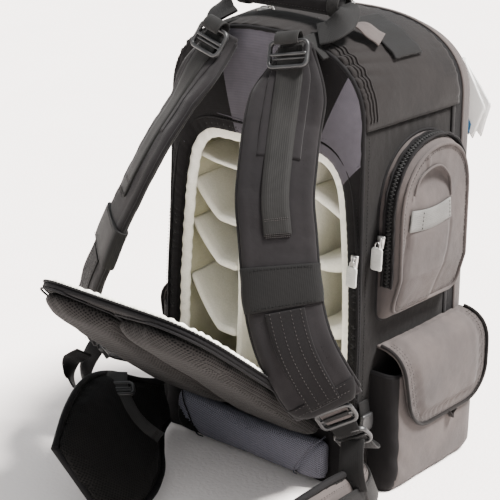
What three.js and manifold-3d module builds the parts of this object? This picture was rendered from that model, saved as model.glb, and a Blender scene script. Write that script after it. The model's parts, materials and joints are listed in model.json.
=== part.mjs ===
// Camera backpack with a rear opening: shell panels, padded liner with dividers, padded rear flap,
// harness, hip belt wings, side pockets, front compartment and grab handle.
// Millimetres, +Z up. The origin is on the floor under the middle of the base. The harness side faces -Y.
import * as THREE from 'three';
import { mergeVertices } from 'three/addons/utils/BufferGeometryUtils.js';
import Module from 'manifold-3d';

const wasm = await Module();
wasm.setup();

// Shell
const BACK_Y = -85; // outer face of the back panel
const BULKHEAD_Y = 66.3; // rear face of the wall behind the front compartment
const BULKHEAD_THICK = 4;
const FRONT_Y = 116; // face of the front compartment
const BASE_HALF = 124; // half width at the floor, at the back panel
const SEAM_HALF = 114; // half width at the seam under the crown
const SEAM_Z = 372;
const CROWN_Z = 450;
const CROWN_POWER = 2.4; // roundness of the shoulders
const CROWN_RISE = 7; // how far the crown bulges between back and front
const SIDE_FLARE = 0.055; // how far the sides lean out for each millimetre towards the front
const WALL = 6;
const GAP = 0.3; // left between touching pieces

// Rear opening and its flap
const HINGE_Z = 65;
const OPENING_TOP = 345;
const FLAP_OPEN_DEG = 51;
const FLAP_START = 2; // from the hinge line to the flap's lower edge
const ZIP_WIDTH = 8;
const ZIP_THICK = 2.2;

// Liner
const LINER_BOTTOM = 52;
const LINER_TOP = 353;
const LINER_WALL = 8;
const LINER_BACK_Y = 60; // front side of the liner's closed wall
const COLUMN_X = 40; // middle of each vertical divider
const DIVIDER_THICK = 6;
const DIVIDER_Y = [-70, 51];
const DIVIDER_GAP = 1; // between a divider's end and the liner's wall

// Front compartment
const FRONT_SPLIT_Z = 62;
const FRONT_WALL = 5;

// Harness
const PAD_WIDTH = 68;
const PAD_THICK = 12;
const WEBBING_WIDTH = 25;
const WEBBING_THICK = 2;
const STITCHED_GAP = 1; // between a bent pad and the webbing on it
const STRAP_ACROSS = [0.79, 0.61, 0]; // direction of a shoulder pad's width
const STRAP_ROUTE = [
  [42, -97, 444], [46, -103, 430], [53, -118, 410], [60, -137, 380], [70, -156, 350], [79, -171, 320],
  [90, -180, 290], [101, -189, 260], [111, -195, 230], [124, -197, 200], [138, -190, 170],
  [152, -177, 140], [160, -157, 110], [163, -134, 86], [150, -108, 73], [128, -91, 65],
];

// Lumbar pad and hip wings: upper and lower edges, root first
const LUMBAR_HALF = 99;
const LUMBAR_TOP = 56;
const WING_THICK = 12;
const WING_STEPS = 12;
const WING_STRIP = [0.42, 0.72]; // the webbing's edges as shares of the wing's height
const WING_EDGES = {
  left: {
    top: [[-116, -97, 54], [-131, -122, 60], [-143, -158, 78], [-130, -208, 93], [-102, -262, 92], [-72, -310, 72]],
    bottom: [[-112, -96, 7], [-99, -121, 7], [-72, -152, 7], [-34, -194, 7], [-10, -244, 7], [-16, -300, 9]],
  },
  right: {
    top: [[118, -97, 52], [142, -114, 55], [160, -140, 66], [163, -186, 74], [158, -238, 70], [142, -286, 54]],
    bottom: [[126, -96, 7], [158, -104, 7], [180, -136, 7], [186, -188, 7], [176, -244, 7], [154, -290, 14]],
  },
};

// Side pockets
const POCKET_GAP = 0.6; // between a pocket and the side panel
const UPPER_POCKET = { back: -60, front: 61, bottom: 178, top: 355, depth: 23 };
const LOWER_POCKET = { back: -64, front: 84, top: 126, depth: 27, wall: 3.5 };
const POCKET_FLAP = { back: -42, front: 88, hinge: 154, drop: 62, reach: 36 };

// Grab handle
const GRIP = { y: -48, z: 475, radius: 11, half: 58 };

const COLOURS = {
  nylon: 0x4a4546, nylonDark: 0x2b292b, mesh: 0x1c1c1f, meshBlue: 0x454856, cream: 0xe6e2d2, khaki: 0xb9b38f,
  webbing: 0x333335, plastic: 0x222224, grey: 0xa8a8a4, metal: 0x8c8c8c, card: 0xeeeeea,
};

const bag = new THREE.Group();

function addMesh(name, geometry, colour, roughness = 0.9, metalness = 0) {
  const material = new THREE.MeshStandardMaterial({ color: colour, roughness, metalness });
  const mesh = new THREE.Mesh(geometry, material);
  mesh.name = name;
  bag.add(mesh);
  return mesh;
}

// ---- Geometry helpers ----

function weld(geometry) {
  const bare = geometry.clone();
  bare.deleteAttribute('normal');
  bare.deleteAttribute('uv');
  return mergeVertices(bare, 1e-4);
}

function toSolid(geometry) {
  const welded = weld(geometry);
  const vertProperties = new Float32Array(welded.attributes.position.array);
  const triVerts = new Uint32Array(welded.index.array);
  return new wasm.Manifold(new wasm.Mesh({ numProp: 3, vertProperties, triVerts }));
}

function toGeometry(solid) {
  const mesh = solid.getMesh();
  const geometry = new THREE.BufferGeometry();
  geometry.setAttribute('position', new THREE.BufferAttribute(new Float32Array(mesh.vertProperties), 3));
  geometry.setIndex(new THREE.BufferAttribute(new Uint32Array(mesh.triVerts), 1));
  geometry.computeVertexNormals();
  return geometry;
}

function subtract(geometry, tool) {
  return toGeometry(toSolid(geometry).subtract(toSolid(tool)));
}

function intersect(geometry, other) {
  return toGeometry(toSolid(geometry).intersect(toSolid(other)));
}

function mirrorX(geometry) {
  const flipped = weld(geometry);
  flipped.scale(-1, 1, 1);
  const index = flipped.index.array;
  for (let i = 0; i < index.length; i += 3) {
    [index[i], index[i + 1]] = [index[i + 1], index[i]];
  }
  flipped.computeVertexNormals();
  return flipped;
}

function onSide(geometry, side) {
  return side > 0 ? geometry : mirrorX(geometry);
}

function reshape(geometry, move) {
  const position = geometry.attributes.position;
  const point = new THREE.Vector3();
  for (let i = 0; i < position.count; i += 1) {
    point.fromBufferAttribute(position, i);
    move(point);
    position.setXYZ(i, point.x, point.y, point.z);
  }
  geometry.computeVertexNormals();
  return geometry;
}

function outline(points) {
  return new THREE.Shape(points.map(([x, y]) => new THREE.Vector2(x, y)));
}

function roundedRect(left, bottom, right, top, radius) {
  const shape = new THREE.Shape();
  shape.moveTo(left + radius, bottom);
  shape.lineTo(right - radius, bottom);
  shape.quadraticCurveTo(right, bottom, right, bottom + radius);
  shape.lineTo(right, top - radius);
  shape.quadraticCurveTo(right, top, right - radius, top);
  shape.lineTo(left + radius, top);
  shape.quadraticCurveTo(left, top, left, top - radius);
  shape.lineTo(left, bottom + radius);
  shape.quadraticCurveTo(left, bottom, left + radius, bottom);
  return shape;
}

// Each extrude takes a shape drawn in the plane across its axis: XZ along Y, YZ along X, XY along Z.
function extrudeY(shape, start, end, steps = 1, curveSegments = 4) {
  const geometry = new THREE.ExtrudeGeometry(shape, { depth: end - start, steps, curveSegments, bevelEnabled: false });
  return geometry.rotateX(Math.PI / 2).translate(0, end, 0);
}

function extrudeX(shape, start, end, steps = 1, curveSegments = 4) {
  const geometry = new THREE.ExtrudeGeometry(shape, { depth: end - start, steps, curveSegments, bevelEnabled: false });
  return reshape(geometry, (p) => p.set(start + p.z, p.x, p.y));
}

function extrudeZ(shape, start, end, steps = 1, curveSegments = 4) {
  const geometry = new THREE.ExtrudeGeometry(shape, { depth: end - start, steps, curveSegments, bevelEnabled: false });
  return geometry.translate(0, 0, start);
}

// ---- Shell outline ----

function wallHalf(z) {
  return BASE_HALF + ((SEAM_HALF - BASE_HALF) * Math.min(z, SEAM_Z)) / SEAM_Z;
}

function sideX(y, z) {
  return wallHalf(z) + SIDE_FLARE * (y - BACK_Y);
}

function crownArc(inset, fromDeg, toDeg, count) {
  const points = [];
  for (let i = 0; i <= count; i += 1) {
    const angle = THREE.MathUtils.degToRad(fromDeg + ((toDeg - fromDeg) * i) / count);
    const power = 2 / CROWN_POWER;
    const across = Math.sign(Math.cos(angle)) * Math.abs(Math.cos(angle)) ** power;
    const up = Math.abs(Math.sin(angle)) ** power;
    points.push([(SEAM_HALF - inset) * across, SEAM_Z + (CROWN_Z - SEAM_Z - inset) * up]);
  }
  return points;
}

function bodyOutline(inset, bottom = inset) {
  const half = wallHalf(bottom) - inset;
  return outline([[-half, bottom], [half, bottom], ...crownArc(inset, 0, 180, 16)]);
}

// Leans the sides out towards the front and bulges the crown.
function flare(geometry) {
  const depth = BULKHEAD_Y - BACK_Y;
  return reshape(geometry, (p) => {
    p.x *= 1 + (SIDE_FLARE * (p.y - BACK_Y)) / wallHalf(p.z);
    const bulge = Math.sin((Math.PI * THREE.MathUtils.clamp(p.y - BACK_Y, 0, depth)) / depth);
    p.z += (CROWN_RISE * bulge * Math.max(0, p.z - SEAM_Z)) / (CROWN_Z - SEAM_Z);
  });
}

// Half width of the rear opening, drawn from the hinge line up. offset grows it.
function openingOutline(offset = 0, bottomOffset = offset) {
  const shape = new THREE.Shape();
  const bottom = HINGE_Z - bottomOffset;
  const top = OPENING_TOP + offset;
  shape.moveTo(-(92 + offset), bottom);
  shape.lineTo(92 + offset, bottom);
  shape.quadraticCurveTo(107 + offset, bottom, 109 + offset, bottom + 26);
  shape.bezierCurveTo(112 + offset, 150, 108 + offset, 235, 99 + offset, 300);
  shape.quadraticCurveTo(92 + offset, top, 56, top);
  shape.lineTo(-56, top);
  shape.quadraticCurveTo(-(92 + offset), top, -(99 + offset), 300);
  shape.bezierCurveTo(-(108 + offset), 235, -(112 + offset), 150, -(109 + offset), bottom + 26);
  shape.quadraticCurveTo(-(107 + offset), bottom, -(92 + offset), bottom);
  return shape;
}

function withHole(shape, hole) {
  shape.holes.push(hole);
  return shape;
}

// ---- Shell ----

function addShell() {
  const mainStart = BACK_Y + WALL + GAP;
  const mainEnd = BULKHEAD_Y - GAP;
  addMesh('back_frame', extrudeY(withHole(bodyOutline(0), openingOutline()), BACK_Y, BACK_Y + WALL), COLOURS.nylon);

  for (const [suffix, side] of [['left', -1], ['right', 1]]) {
    const wall = outline([
      [BASE_HALF, 0], [wallHalf(SEAM_Z), SEAM_Z - GAP], [wallHalf(SEAM_Z) - WALL, SEAM_Z - GAP], [BASE_HALF - WALL, 0],
    ]);
    addMesh(`side_panel_${suffix}`, onSide(flare(extrudeY(wall, mainStart, mainEnd)), side), COLOURS.nylon);
  }

  const baseHalf = BASE_HALF - WALL - 2 * GAP;
  const base = outline([[-baseHalf, 0], [baseHalf, 0], [baseHalf, WALL], [-baseHalf, WALL]]);
  addMesh('base_panel', flare(extrudeY(base, mainStart, mainEnd)), COLOURS.nylonDark);

  const ring = outline([...crownArc(0, 0, 180, 14), ...crownArc(WALL, 180, 0, 14)]);
  addMesh('crown_panel', flare(extrudeY(ring, mainStart, mainEnd, 4)), COLOURS.nylonDark);

  const bulkheadEnd = BULKHEAD_Y + BULKHEAD_THICK;
  addMesh('bulkhead_panel', flare(extrudeY(bodyOutline(0), BULKHEAD_Y, bulkheadEnd)), COLOURS.nylonDark);

  const zip = withHole(openingOutline(ZIP_WIDTH), openingOutline(0.5));
  const band = outline([[-140, HINGE_Z + 22], [140, HINGE_Z + 22], [140, 400], [-140, 400]]);
  const zipEnd = BACK_Y - GAP;
  const zipSolid = intersect(extrudeY(zip, zipEnd - ZIP_THICK, zipEnd), extrudeY(band, -120, 0));
  addMesh('back_zip', zipSolid, COLOURS.nylonDark);
}

// The front compartment rounds in towards its face.
function domeFront(geometry) {
  const start = BULKHEAD_Y + BULKHEAD_THICK;
  const middleZ = 205;
  return reshape(flare(geometry), (p) => {
    const t = THREE.MathUtils.clamp((p.y - start) / (FRONT_Y - start), 0, 1);
    const shrink = 1 - 0.22 * t ** 3;
    const squeeze = 1 - 0.09 * t ** 3;
    p.x *= shrink;
    p.z = p.z > middleZ ? middleZ + (p.z - middleZ) * squeeze : p.z;
  });
}

function addFrontCompartment() {
  const start = BULKHEAD_Y + BULKHEAD_THICK + GAP;
  const outer = domeFront(extrudeY(bodyOutline(0), start, FRONT_Y, 5));
  const inner = domeFront(extrudeY(bodyOutline(FRONT_WALL), start - 2, FRONT_Y - FRONT_WALL, 5));
  const tray = subtract(outer, inner);
  const lower = outline([[-200, -20], [200, -20], [200, FRONT_SPLIT_Z], [-200, FRONT_SPLIT_Z]]);
  const upper = outline([
    [-200, FRONT_SPLIT_Z + 2 * GAP], [200, FRONT_SPLIT_Z + 2 * GAP], [200, 500], [-200, 500],
  ]);
  addMesh('front_pocket_base', intersect(tray, extrudeY(lower, 0, 200)), COLOURS.nylonDark);
  addMesh('front_cover', intersect(tray, extrudeY(upper, 0, 200)), COLOURS.nylon);

  const tag = outline([[82, 404], [98, 404], [127, 357], [114, 322], [90, 352]]);
  addMesh('hang_tag', extrudeY(tag, FRONT_Y + 2, FRONT_Y + 3), COLOURS.card, 0.6);
}

// ---- Liner and dividers ----

function linerHalf(z, inset) {
  return wallHalf(z) - WALL - 0.7 - inset;
}

function linerOutline(inset) {
  const bottom = LINER_BOTTOM + inset;
  const top = LINER_TOP - inset;
  const radius = 26;
  const shape = new THREE.Shape();
  shape.moveTo(-linerHalf(bottom, inset), bottom);
  shape.lineTo(linerHalf(bottom, inset), bottom);
  shape.lineTo(linerHalf(top, inset), top - radius);
  shape.quadraticCurveTo(linerHalf(top, inset), top, linerHalf(top, inset) - radius, top);
  shape.lineTo(-linerHalf(top, inset) + radius, top);
  shape.quadraticCurveTo(-linerHalf(top, inset), top, -linerHalf(top, inset), top - radius);
  return shape;
}

function addLiner() {
  const start = BACK_Y + WALL + 2 * GAP;
  const outer = flare(extrudeY(linerOutline(0), start, LINER_BACK_Y));
  const inner = flare(extrudeY(linerOutline(LINER_WALL), start - 5, LINER_BACK_Y - LINER_WALL));
  addMesh('liner_tray', subtract(outer, inner), COLOURS.cream);

  const floor = LINER_BOTTOM + LINER_WALL + GAP;
  const ceiling = LINER_TOP - LINER_WALL - GAP;
  for (const [suffix, side] of [['left', -1], ['right', 1]]) {
    const near = side * (COLUMN_X - DIVIDER_THICK / 2);
    const far = side * (COLUMN_X + DIVIDER_THICK / 2);
    const upright = outline([[near, floor], [far, floor], [far, ceiling], [near, ceiling]]);
    addMesh(`vertical_divider_${suffix}`, flare(extrudeY(upright, ...DIVIDER_Y)), COLOURS.khaki);
  }
}

// A horizontal divider: upper and lower edges from the column to the wall, as heights.
function addDivider(name, side, bendX, heights) {
  const { column, bend, wall, thickAtColumn, thickAtWall } = heights;
  const inner = COLUMN_X + DIVIDER_THICK / 2 + GAP;
  const wallX = (z) => linerHalf(z, LINER_WALL) - DIVIDER_GAP;
  const shape = outline([
    [side * inner, column], [side * bendX, bend], [side * wallX(wall), wall],
    [side * wallX(wall - thickAtWall), wall - thickAtWall], [side * bendX, bend - thickAtColumn],
    [side * inner, column - thickAtColumn],
  ]);
  addMesh(name, flare(extrudeY(shape, ...DIVIDER_Y)), COLOURS.khaki);
}

function addDividers() {
  const left = [
    { column: 124, bend: 127, wall: 176, thickAtColumn: 9, thickAtWall: 12 },
    { column: 198, bend: 201, wall: 238, thickAtColumn: 9, thickAtWall: 12 },
    { column: 246, bend: 249, wall: 282, thickAtColumn: 9, thickAtWall: 12 },
    { column: 303, bend: 306, wall: 313, thickAtColumn: 5, thickAtWall: 7 },
  ];
  left.forEach((heights, i) => addDivider(`divider_left_${i + 1}`, -1, 66, heights));
  const right = [
    { column: 152, bend: 158, wall: 181, thickAtColumn: 12, thickAtWall: 26 },
    { column: 224, bend: 230, wall: 250, thickAtColumn: 12, thickAtWall: 25 },
    { column: 302, bend: 296, wall: 274, thickAtColumn: 11, thickAtWall: 14 },
  ];
  right.forEach((heights, i) => addDivider(`divider_right_${i + 1}`, 1, 60, heights));
}

// ---- Rear flap, drawn closed and swung open about its hinge line ----

function swingFlap(geometry) {
  geometry.translate(0, -BACK_Y, -HINGE_Z);
  geometry.rotateX(THREE.MathUtils.degToRad(FLAP_OPEN_DEG));
  return geometry.translate(0, BACK_Y, HINGE_Z);
}

function addFlap() {
  const skin = BACK_Y - GAP - ZIP_THICK - GAP; // inner face of the flap's panel when it is closed
  const panel = extrudeY(openingOutline(1.5, -FLAP_START), skin - 4, skin, 1, 6);
  addMesh('flap_panel', swingFlap(panel), COLOURS.mesh);

  const lining = extrudeY(openingOutline(-4, -8), skin + GAP, BACK_Y + 5, 1, 6);
  addMesh('flap_lining', swingFlap(lining), COLOURS.cream);

  for (const [suffix, side] of [['left', -1], ['right', 1]]) {
    const lobe = new THREE.Shape();
    lobe.moveTo(side * 7, HINGE_Z + 30);
    lobe.lineTo(side * 88, HINGE_Z + 24);
    lobe.quadraticCurveTo(side * 107, HINGE_Z + 26, side * 108, HINGE_Z + 60);
    lobe.bezierCurveTo(side * 112, 190, side * 107, 250, side * 99, 305);
    lobe.quadraticCurveTo(side * 90, 344, side * 54, 344);
    lobe.lineTo(side * 7, 330);
    const pad = extrudeY(lobe, skin - 18, skin - 4 - GAP, 2, 5);
    const crowned = reshape(pad, (p) => {
      const inward = THREE.MathUtils.clamp((skin - 4 - GAP - p.y) / 14, 0, 1);
      p.x = side * (57 + (Math.abs(p.x) - 57) * (1 - 0.12 * inward ** 2));
      p.z = 205 + (p.z - 205) * (1 - 0.04 * inward ** 2);
    });
    addMesh(`flap_pad_${suffix}`, swingFlap(crowned), COLOURS.mesh);
  }
}

// ---- Pieces that follow a route ----

function stadium(width, thick, lift = 0) {
  return roundedRect(-width / 2, lift - thick / 2, width / 2, lift + thick / 2, thick * 0.45);
}

function routeFrame(curve, t, acrossAt) {
  const tangent = curve.getTangentAt(t);
  const across = acrossAt(t).clone();
  across.addScaledVector(tangent, -across.dot(tangent)).normalize();
  return { origin: curve.getPointAt(t), tangent, across, normal: tangent.clone().cross(across) };
}

// Bends a section along a route. The section's X runs across it and its Y along the outward normal.
function alongRoute(section, curve, from, to, steps, acrossAt, widthAt = () => 1) {
  const straight = new THREE.ExtrudeGeometry(section, { depth: 1, steps, curveSegments: 2, bevelEnabled: false });
  return reshape(straight, (p) => {
    const t = from + (to - from) * p.z;
    const { origin, across, normal } = routeFrame(curve, t, acrossAt);
    p.copy(origin.addScaledVector(across, p.x * widthAt(t)).addScaledVector(normal, p.y));
  });
}

// Lays a flat plate on a route: its X runs across, its Y back up the route, its Z along the normal.
function plateOnRoute(geometry, curve, t, acrossAt) {
  const { origin, tangent, across, normal } = routeFrame(curve, t, acrossAt);
  const matrix = new THREE.Matrix4().makeBasis(across, tangent.clone().negate(), normal).setPosition(origin);
  return geometry.applyMatrix4(matrix);
}

function ladderLock(width, height, lift) {
  const frame = roundedRect(-width / 2, -height / 2, width / 2, height / 2, 5);
  const slotHalf = width / 2 - 4;
  frame.holes.push(roundedRect(-slotHalf, 2, slotHalf, height / 2 - 4, 1.5));
  frame.holes.push(roundedRect(-slotHalf, -height / 2 + 4, slotHalf, -2, 1.5));
  return extrudeZ(frame, lift, lift + 5, 1, 2);
}

function curveThrough(points) {
  return new THREE.CatmullRomCurve3(points.map((p) => new THREE.Vector3(...p)));
}

function routeAtHeight(curve, z) {
  let low = 0;
  let high = 1;
  for (let i = 0; i < 30; i += 1) {
    const middle = (low + high) / 2;
    if (curve.getPointAt(middle).z > z) low = middle;
    else high = middle;
  }
  return (low + high) / 2;
}

// ---- Shoulder straps ----

function addShoulderStrap(suffix, side) {
  const curve = curveThrough(STRAP_ROUTE);
  const turned = new THREE.Vector3(...STRAP_ACROSS);
  const flatAgainstBack = new THREE.Vector3(1, 0, 0);
  const across = (t) => flatAgainstBack.clone().lerp(turned, THREE.MathUtils.clamp(t / 0.16, 0, 1));
  const shoulder = (t) => 0.55 + 0.45 * THREE.MathUtils.smoothstep(t, 0, 0.12);
  const at = (z) => routeAtHeight(curve, z);
  const add = (name, geometry, colour, roughness) => {
    addMesh(`${name}_${suffix}`, onSide(geometry, side), colour, roughness);
  };

  const padSection = stadium(PAD_WIDTH, PAD_THICK);
  add('shoulder_pad', alongRoute(padSection, curve, 0, at(141), 16, across, shoulder), COLOURS.nylon);

  const webLift = (PAD_THICK + WEBBING_THICK) / 2 + STITCHED_GAP;
  const webSection = stadium(WEBBING_WIDTH, WEBBING_THICK, webLift);
  add('strap_webbing', alongRoute(webSection, curve, at(416), at(290), 8, across), COLOURS.webbing);

  const keeperOuter = roundedRect(-PAD_WIDTH / 2 - 3, -PAD_THICK / 2 - 2.4, PAD_WIDTH / 2 + 3, PAD_THICK / 2 + 2.4, 5);
  keeperOuter.holes.push(roundedRect(-PAD_WIDTH / 2 - 0.6, -PAD_THICK / 2 - 0.4, PAD_WIDTH / 2 + 0.6, PAD_THICK / 2 + 0.4, 4));
  add('strap_keeper', alongRoute(keeperOuter, curve, at(266), at(231), 3, across), COLOURS.webbing);

  const topLock = ladderLock(42, 28, PAD_THICK / 2 + 4.5);
  add('strap_lock', plateOnRoute(topLock, curve, at(432), across), COLOURS.plastic, 0.5);

  const upper = ladderLock(38, 24, -2.5);
  add('adjuster_upper', plateOnRoute(upper, curve, at(129), across), COLOURS.plastic, 0.5);
  const lower = ladderLock(34, 24, -2.5);
  add('adjuster_lower', plateOnRoute(lower, curve, at(102), across), COLOURS.plastic, 0.5);

  const anchorSection = stadium(WEBBING_WIDTH, WEBBING_THICK + 1);
  add('anchor_webbing', alongRoute(anchorSection, curve, at(90), 1, 6, across), COLOURS.webbing);
}

// ---- Lumbar pad and hip wings ----

function addLumbar() {
  const shape = new THREE.Shape();
  const outerY = -110;
  shape.moveTo(BACK_Y - GAP, 4);
  shape.lineTo(BACK_Y - GAP, LUMBAR_TOP);
  shape.lineTo(outerY + 8, LUMBAR_TOP);
  shape.quadraticCurveTo(outerY, LUMBAR_TOP, outerY, LUMBAR_TOP - 14);
  shape.lineTo(outerY, 16);
  shape.quadraticCurveTo(outerY, 4, outerY + 8, 4);
  const pad = extrudeX(shape, -LUMBAR_HALF, LUMBAR_HALF, 6);
  reshape(pad, (p) => {
    const t = Math.abs(p.x) / LUMBAR_HALF;
    p.y = BACK_Y - GAP + (p.y - BACK_Y + GAP) * (1 - 0.3 * t ** 6);
  });
  addMesh('lumbar_pad', pad, COLOURS.meshBlue);
}

// A padded blade between two edges, with a webbing strip laid along its outer face.
function addWing(suffix, side) {
  const top = curveThrough(WING_EDGES[suffix].top);
  const bottom = curveThrough(WING_EDGES[suffix].bottom);
  const blade = (section, from, to, steps) => {
    const straight = new THREE.ExtrudeGeometry(section, { depth: 1, steps, curveSegments: 2, bevelEnabled: false });
    return reshape(straight, (p) => {
      const t = from + (to - from) * p.z;
      const lower = bottom.getPointAt(t);
      const rise = top.getPointAt(t).sub(lower);
      const tangent = top.getTangentAt(t).add(bottom.getTangentAt(t)).normalize();
      const across = tangent.clone().cross(rise).normalize();
      p.copy(lower.addScaledVector(rise, p.x).addScaledVector(across, p.y));
    });
  };
  const half = WING_THICK / 2;
  const [low, high] = WING_STRIP;
  const section = outline([
    [0.04, -half], [low, -half], [high, -half], [0.96, -half], [1, -half / 2], [1, half / 2],
    [0.96, half], [high, half], [low, half], [0.04, half], [0, half / 2], [0, -half / 2],
  ]);
  addMesh(`hip_wing_${suffix}`, blade(section, 0, 1, WING_STEPS), COLOURS.mesh);
  const near = -side * (half + 2 * STITCHED_GAP);
  const far = near - side * WEBBING_THICK;
  const strip = outline([[low, near], [high, near], [high, far], [low, far]]);
  const webbing = blade(strip, 1 / WING_STEPS, 1 - 1 / WING_STEPS, WING_STEPS - 2);
  addMesh(`hip_webbing_${suffix}`, webbing, COLOURS.webbing);
}

// ---- Side pockets, drawn as distances out from the side panel ----

function againstSide(geometry, side) {
  const placed = reshape(geometry, (p) => {
    p.x += sideX(p.y, p.z) + POCKET_GAP;
  });
  return onSide(placed, side);
}

function addUpperPocket(suffix, side) {
  const { back, front, bottom, top, depth } = UPPER_POCKET;
  const arch = (inset) => {
    const shape = new THREE.Shape();
    const left = back + inset;
    const right = front - inset;
    const middle = (left + right) / 2;
    shape.moveTo(left + 12, bottom + inset);
    shape.lineTo(right - 12, bottom + inset);
    shape.quadraticCurveTo(right, bottom + inset, right, bottom + 16 + inset);
    shape.lineTo(right, top - 62);
    shape.bezierCurveTo(right, top - 18, right - 24, top - inset, middle + 6, top - inset);
    shape.bezierCurveTo(left + 26, top - inset, left, top - 30, left, top - 74);
    shape.lineTo(left, bottom + 16 + inset);
    shape.quadraticCurveTo(left, bottom + inset, left + 12, bottom + inset);
    return shape;
  };
  const crown = (geometry, reach) => reshape(geometry, (p) => {
    const out = THREE.MathUtils.clamp(p.x / reach, 0, 1);
    const round = 1 - 0.12 * out ** 3;
    const low = THREE.MathUtils.clamp((p.z - bottom) / 46, 0, 1);
    p.y = (p.y - (back + front) / 2) * round + (back + front) / 2;
    p.z = p.z > 270 ? 270 + (p.z - 270) * round : p.z;
    p.x *= 0.45 + 0.55 * low;
  });
  const outer = crown(extrudeX(arch(0), 0, depth, 3, 5), depth);
  const inner = crown(extrudeX(arch(5), -3, depth - 4, 3, 5), depth);
  addMesh(`upper_pocket_${suffix}`, againstSide(subtract(outer, inner), side), COLOURS.nylon);
}

function addLowerPocket(suffix, side) {
  const { back, front, top, depth, wall } = LOWER_POCKET;
  const plan = (inset, reach) => {
    const shape = new THREE.Shape();
    const start = inset ? wall : 0;
    shape.moveTo(start, back + inset);
    shape.lineTo(reach - 12, back + inset);
    shape.quadraticCurveTo(reach, back + inset, reach, back + 12 + inset);
    shape.lineTo(reach, front - 26);
    shape.quadraticCurveTo(reach, front - inset, reach - 20, front - inset);
    shape.lineTo(start, front - inset);
    return shape;
  };
  const outer = extrudeZ(plan(0, depth), 0, top, 1, 3);
  const inner = extrudeZ(plan(wall, depth - wall), wall + 1, top + 5, 1, 3);
  addMesh(`lower_pocket_${suffix}`, againstSide(subtract(outer, inner), side), COLOURS.nylon);
}

function addPocketFlap(suffix, side) {
  const { back, front, hinge, drop, reach } = POCKET_FLAP;
  const root = wallHalf(hinge) + 2 * POCKET_GAP;
  const out = root + reach;
  const profile = new THREE.Shape();
  profile.moveTo(root, hinge - 5);
  profile.lineTo(root, hinge);
  profile.quadraticCurveTo(out - 2, hinge - 2, out + 1, hinge - 30);
  profile.quadraticCurveTo(out + 3, drop + 30, out, drop);
  profile.lineTo(out - 5, drop);
  profile.quadraticCurveTo(out - 2, drop + 30, out - 5, hinge - 30);
  profile.quadraticCurveTo(out - 9, hinge - 10, root, hinge - 5);
  const cut = roundedRect(back, drop - 1, front, hinge + 40, 34);
  const flap = intersect(extrudeY(profile, back - 5, front + 5, 1, 4), extrudeX(cut, root - 5, out + 10, 1, 4));
  const leaned = reshape(flap, (p) => {
    p.x += SIDE_FLARE * (p.y - BACK_Y);
  });
  addMesh(`pocket_flap_${suffix}`, onSide(leaned, side), COLOURS.nylon);
}

// ---- Grab handle ----

function addHandle() {
  const { y, z, radius, half } = GRIP;
  const grip = new THREE.CylinderGeometry(radius, radius, 2 * half, 20).rotateZ(Math.PI / 2).translate(0, y, z);
  addMesh('handle_grip', grip, COLOURS.nylonDark);
  const curve = curveThrough([
    [half + 2, y, z], [half + 9, y - 1, z - 1], [half + 14, y - 12, z - 8],
    [half + 8, y - 26, z - 18], [half - 2, y - 33, z - 22],
  ]);
  const inGrip = new THREE.Vector3(0, 1, 0.2);
  const onBag = new THREE.Vector3(1, 0.1, 0);
  const across = (t) => inGrip.clone().lerp(onBag, THREE.MathUtils.smoothstep(t, 0.15, 0.8));
  const widen = (t) => 1 + 0.4 * THREE.MathUtils.smoothstep(t, 0.2, 0.9);
  for (const [suffix, side] of [['left', -1], ['right', 1]]) {
    const leg = alongRoute(stadium(20, 2.4), curve, 0, 1, 8, across, widen);
    addMesh(`handle_leg_${suffix}`, onSide(leg, side), COLOURS.webbing);
  }

  const band = outline([...crownArc(-3.6, 33, 68, 6), ...crownArc(-1, 68, 33, 6)]);
  addMesh('crown_band', flare(extrudeY(band, -26, 18, 2)), COLOURS.webbing);
}

// ---- Zip sliders and their tabs ----

function addZipPull(name, at, sliderSize, tabSize) {
  const slider = new THREE.BoxGeometry(...sliderSize).translate(...at);
  addMesh(`${name}_slider`, slider, COLOURS.metal, 0.35, 0.9);
  const outward = (sliderSize[1] + tabSize[1]) / 2 + 2 * GAP;
  const hang = tabSize[2] / 2 + 2;
  const tab = new THREE.BoxGeometry(...tabSize).translate(at[0], at[1] - outward, at[2] - hang);
  addMesh(`${name}_tab`, tab, COLOURS.grey, 0.7);
}

function addZipPulls() {
  addZipPull('side_zip', [sideX(-64, 262) + 9, -65.8, 262], [5, 9, 13], [13, 2.5, 26]);
  addZipPull('back_zip', [114.4, BACK_Y - 5.2, 246], [8, 4.6, 13], [12, 2.5, 24]);
}

addShell();
addFrontCompartment();
addLiner();
addDividers();
addFlap();
addLumbar();
for (const [suffix, side] of [['left', -1], ['right', 1]]) {
  addShoulderStrap(suffix, side);
  addWing(suffix, side);
  addUpperPocket(suffix, side);
  addLowerPocket(suffix, side);
  addPocketFlap(suffix, side);
}
addHandle();
addZipPulls();

export default bag;
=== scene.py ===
"""The looks of the camera backpack: shell, liner, dividers, flap, harness and pockets on the CAD frame."""

import json
import math

import bmesh
import bpy
import numpy as np
from mathutils import Matrix, Vector, noise

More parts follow.
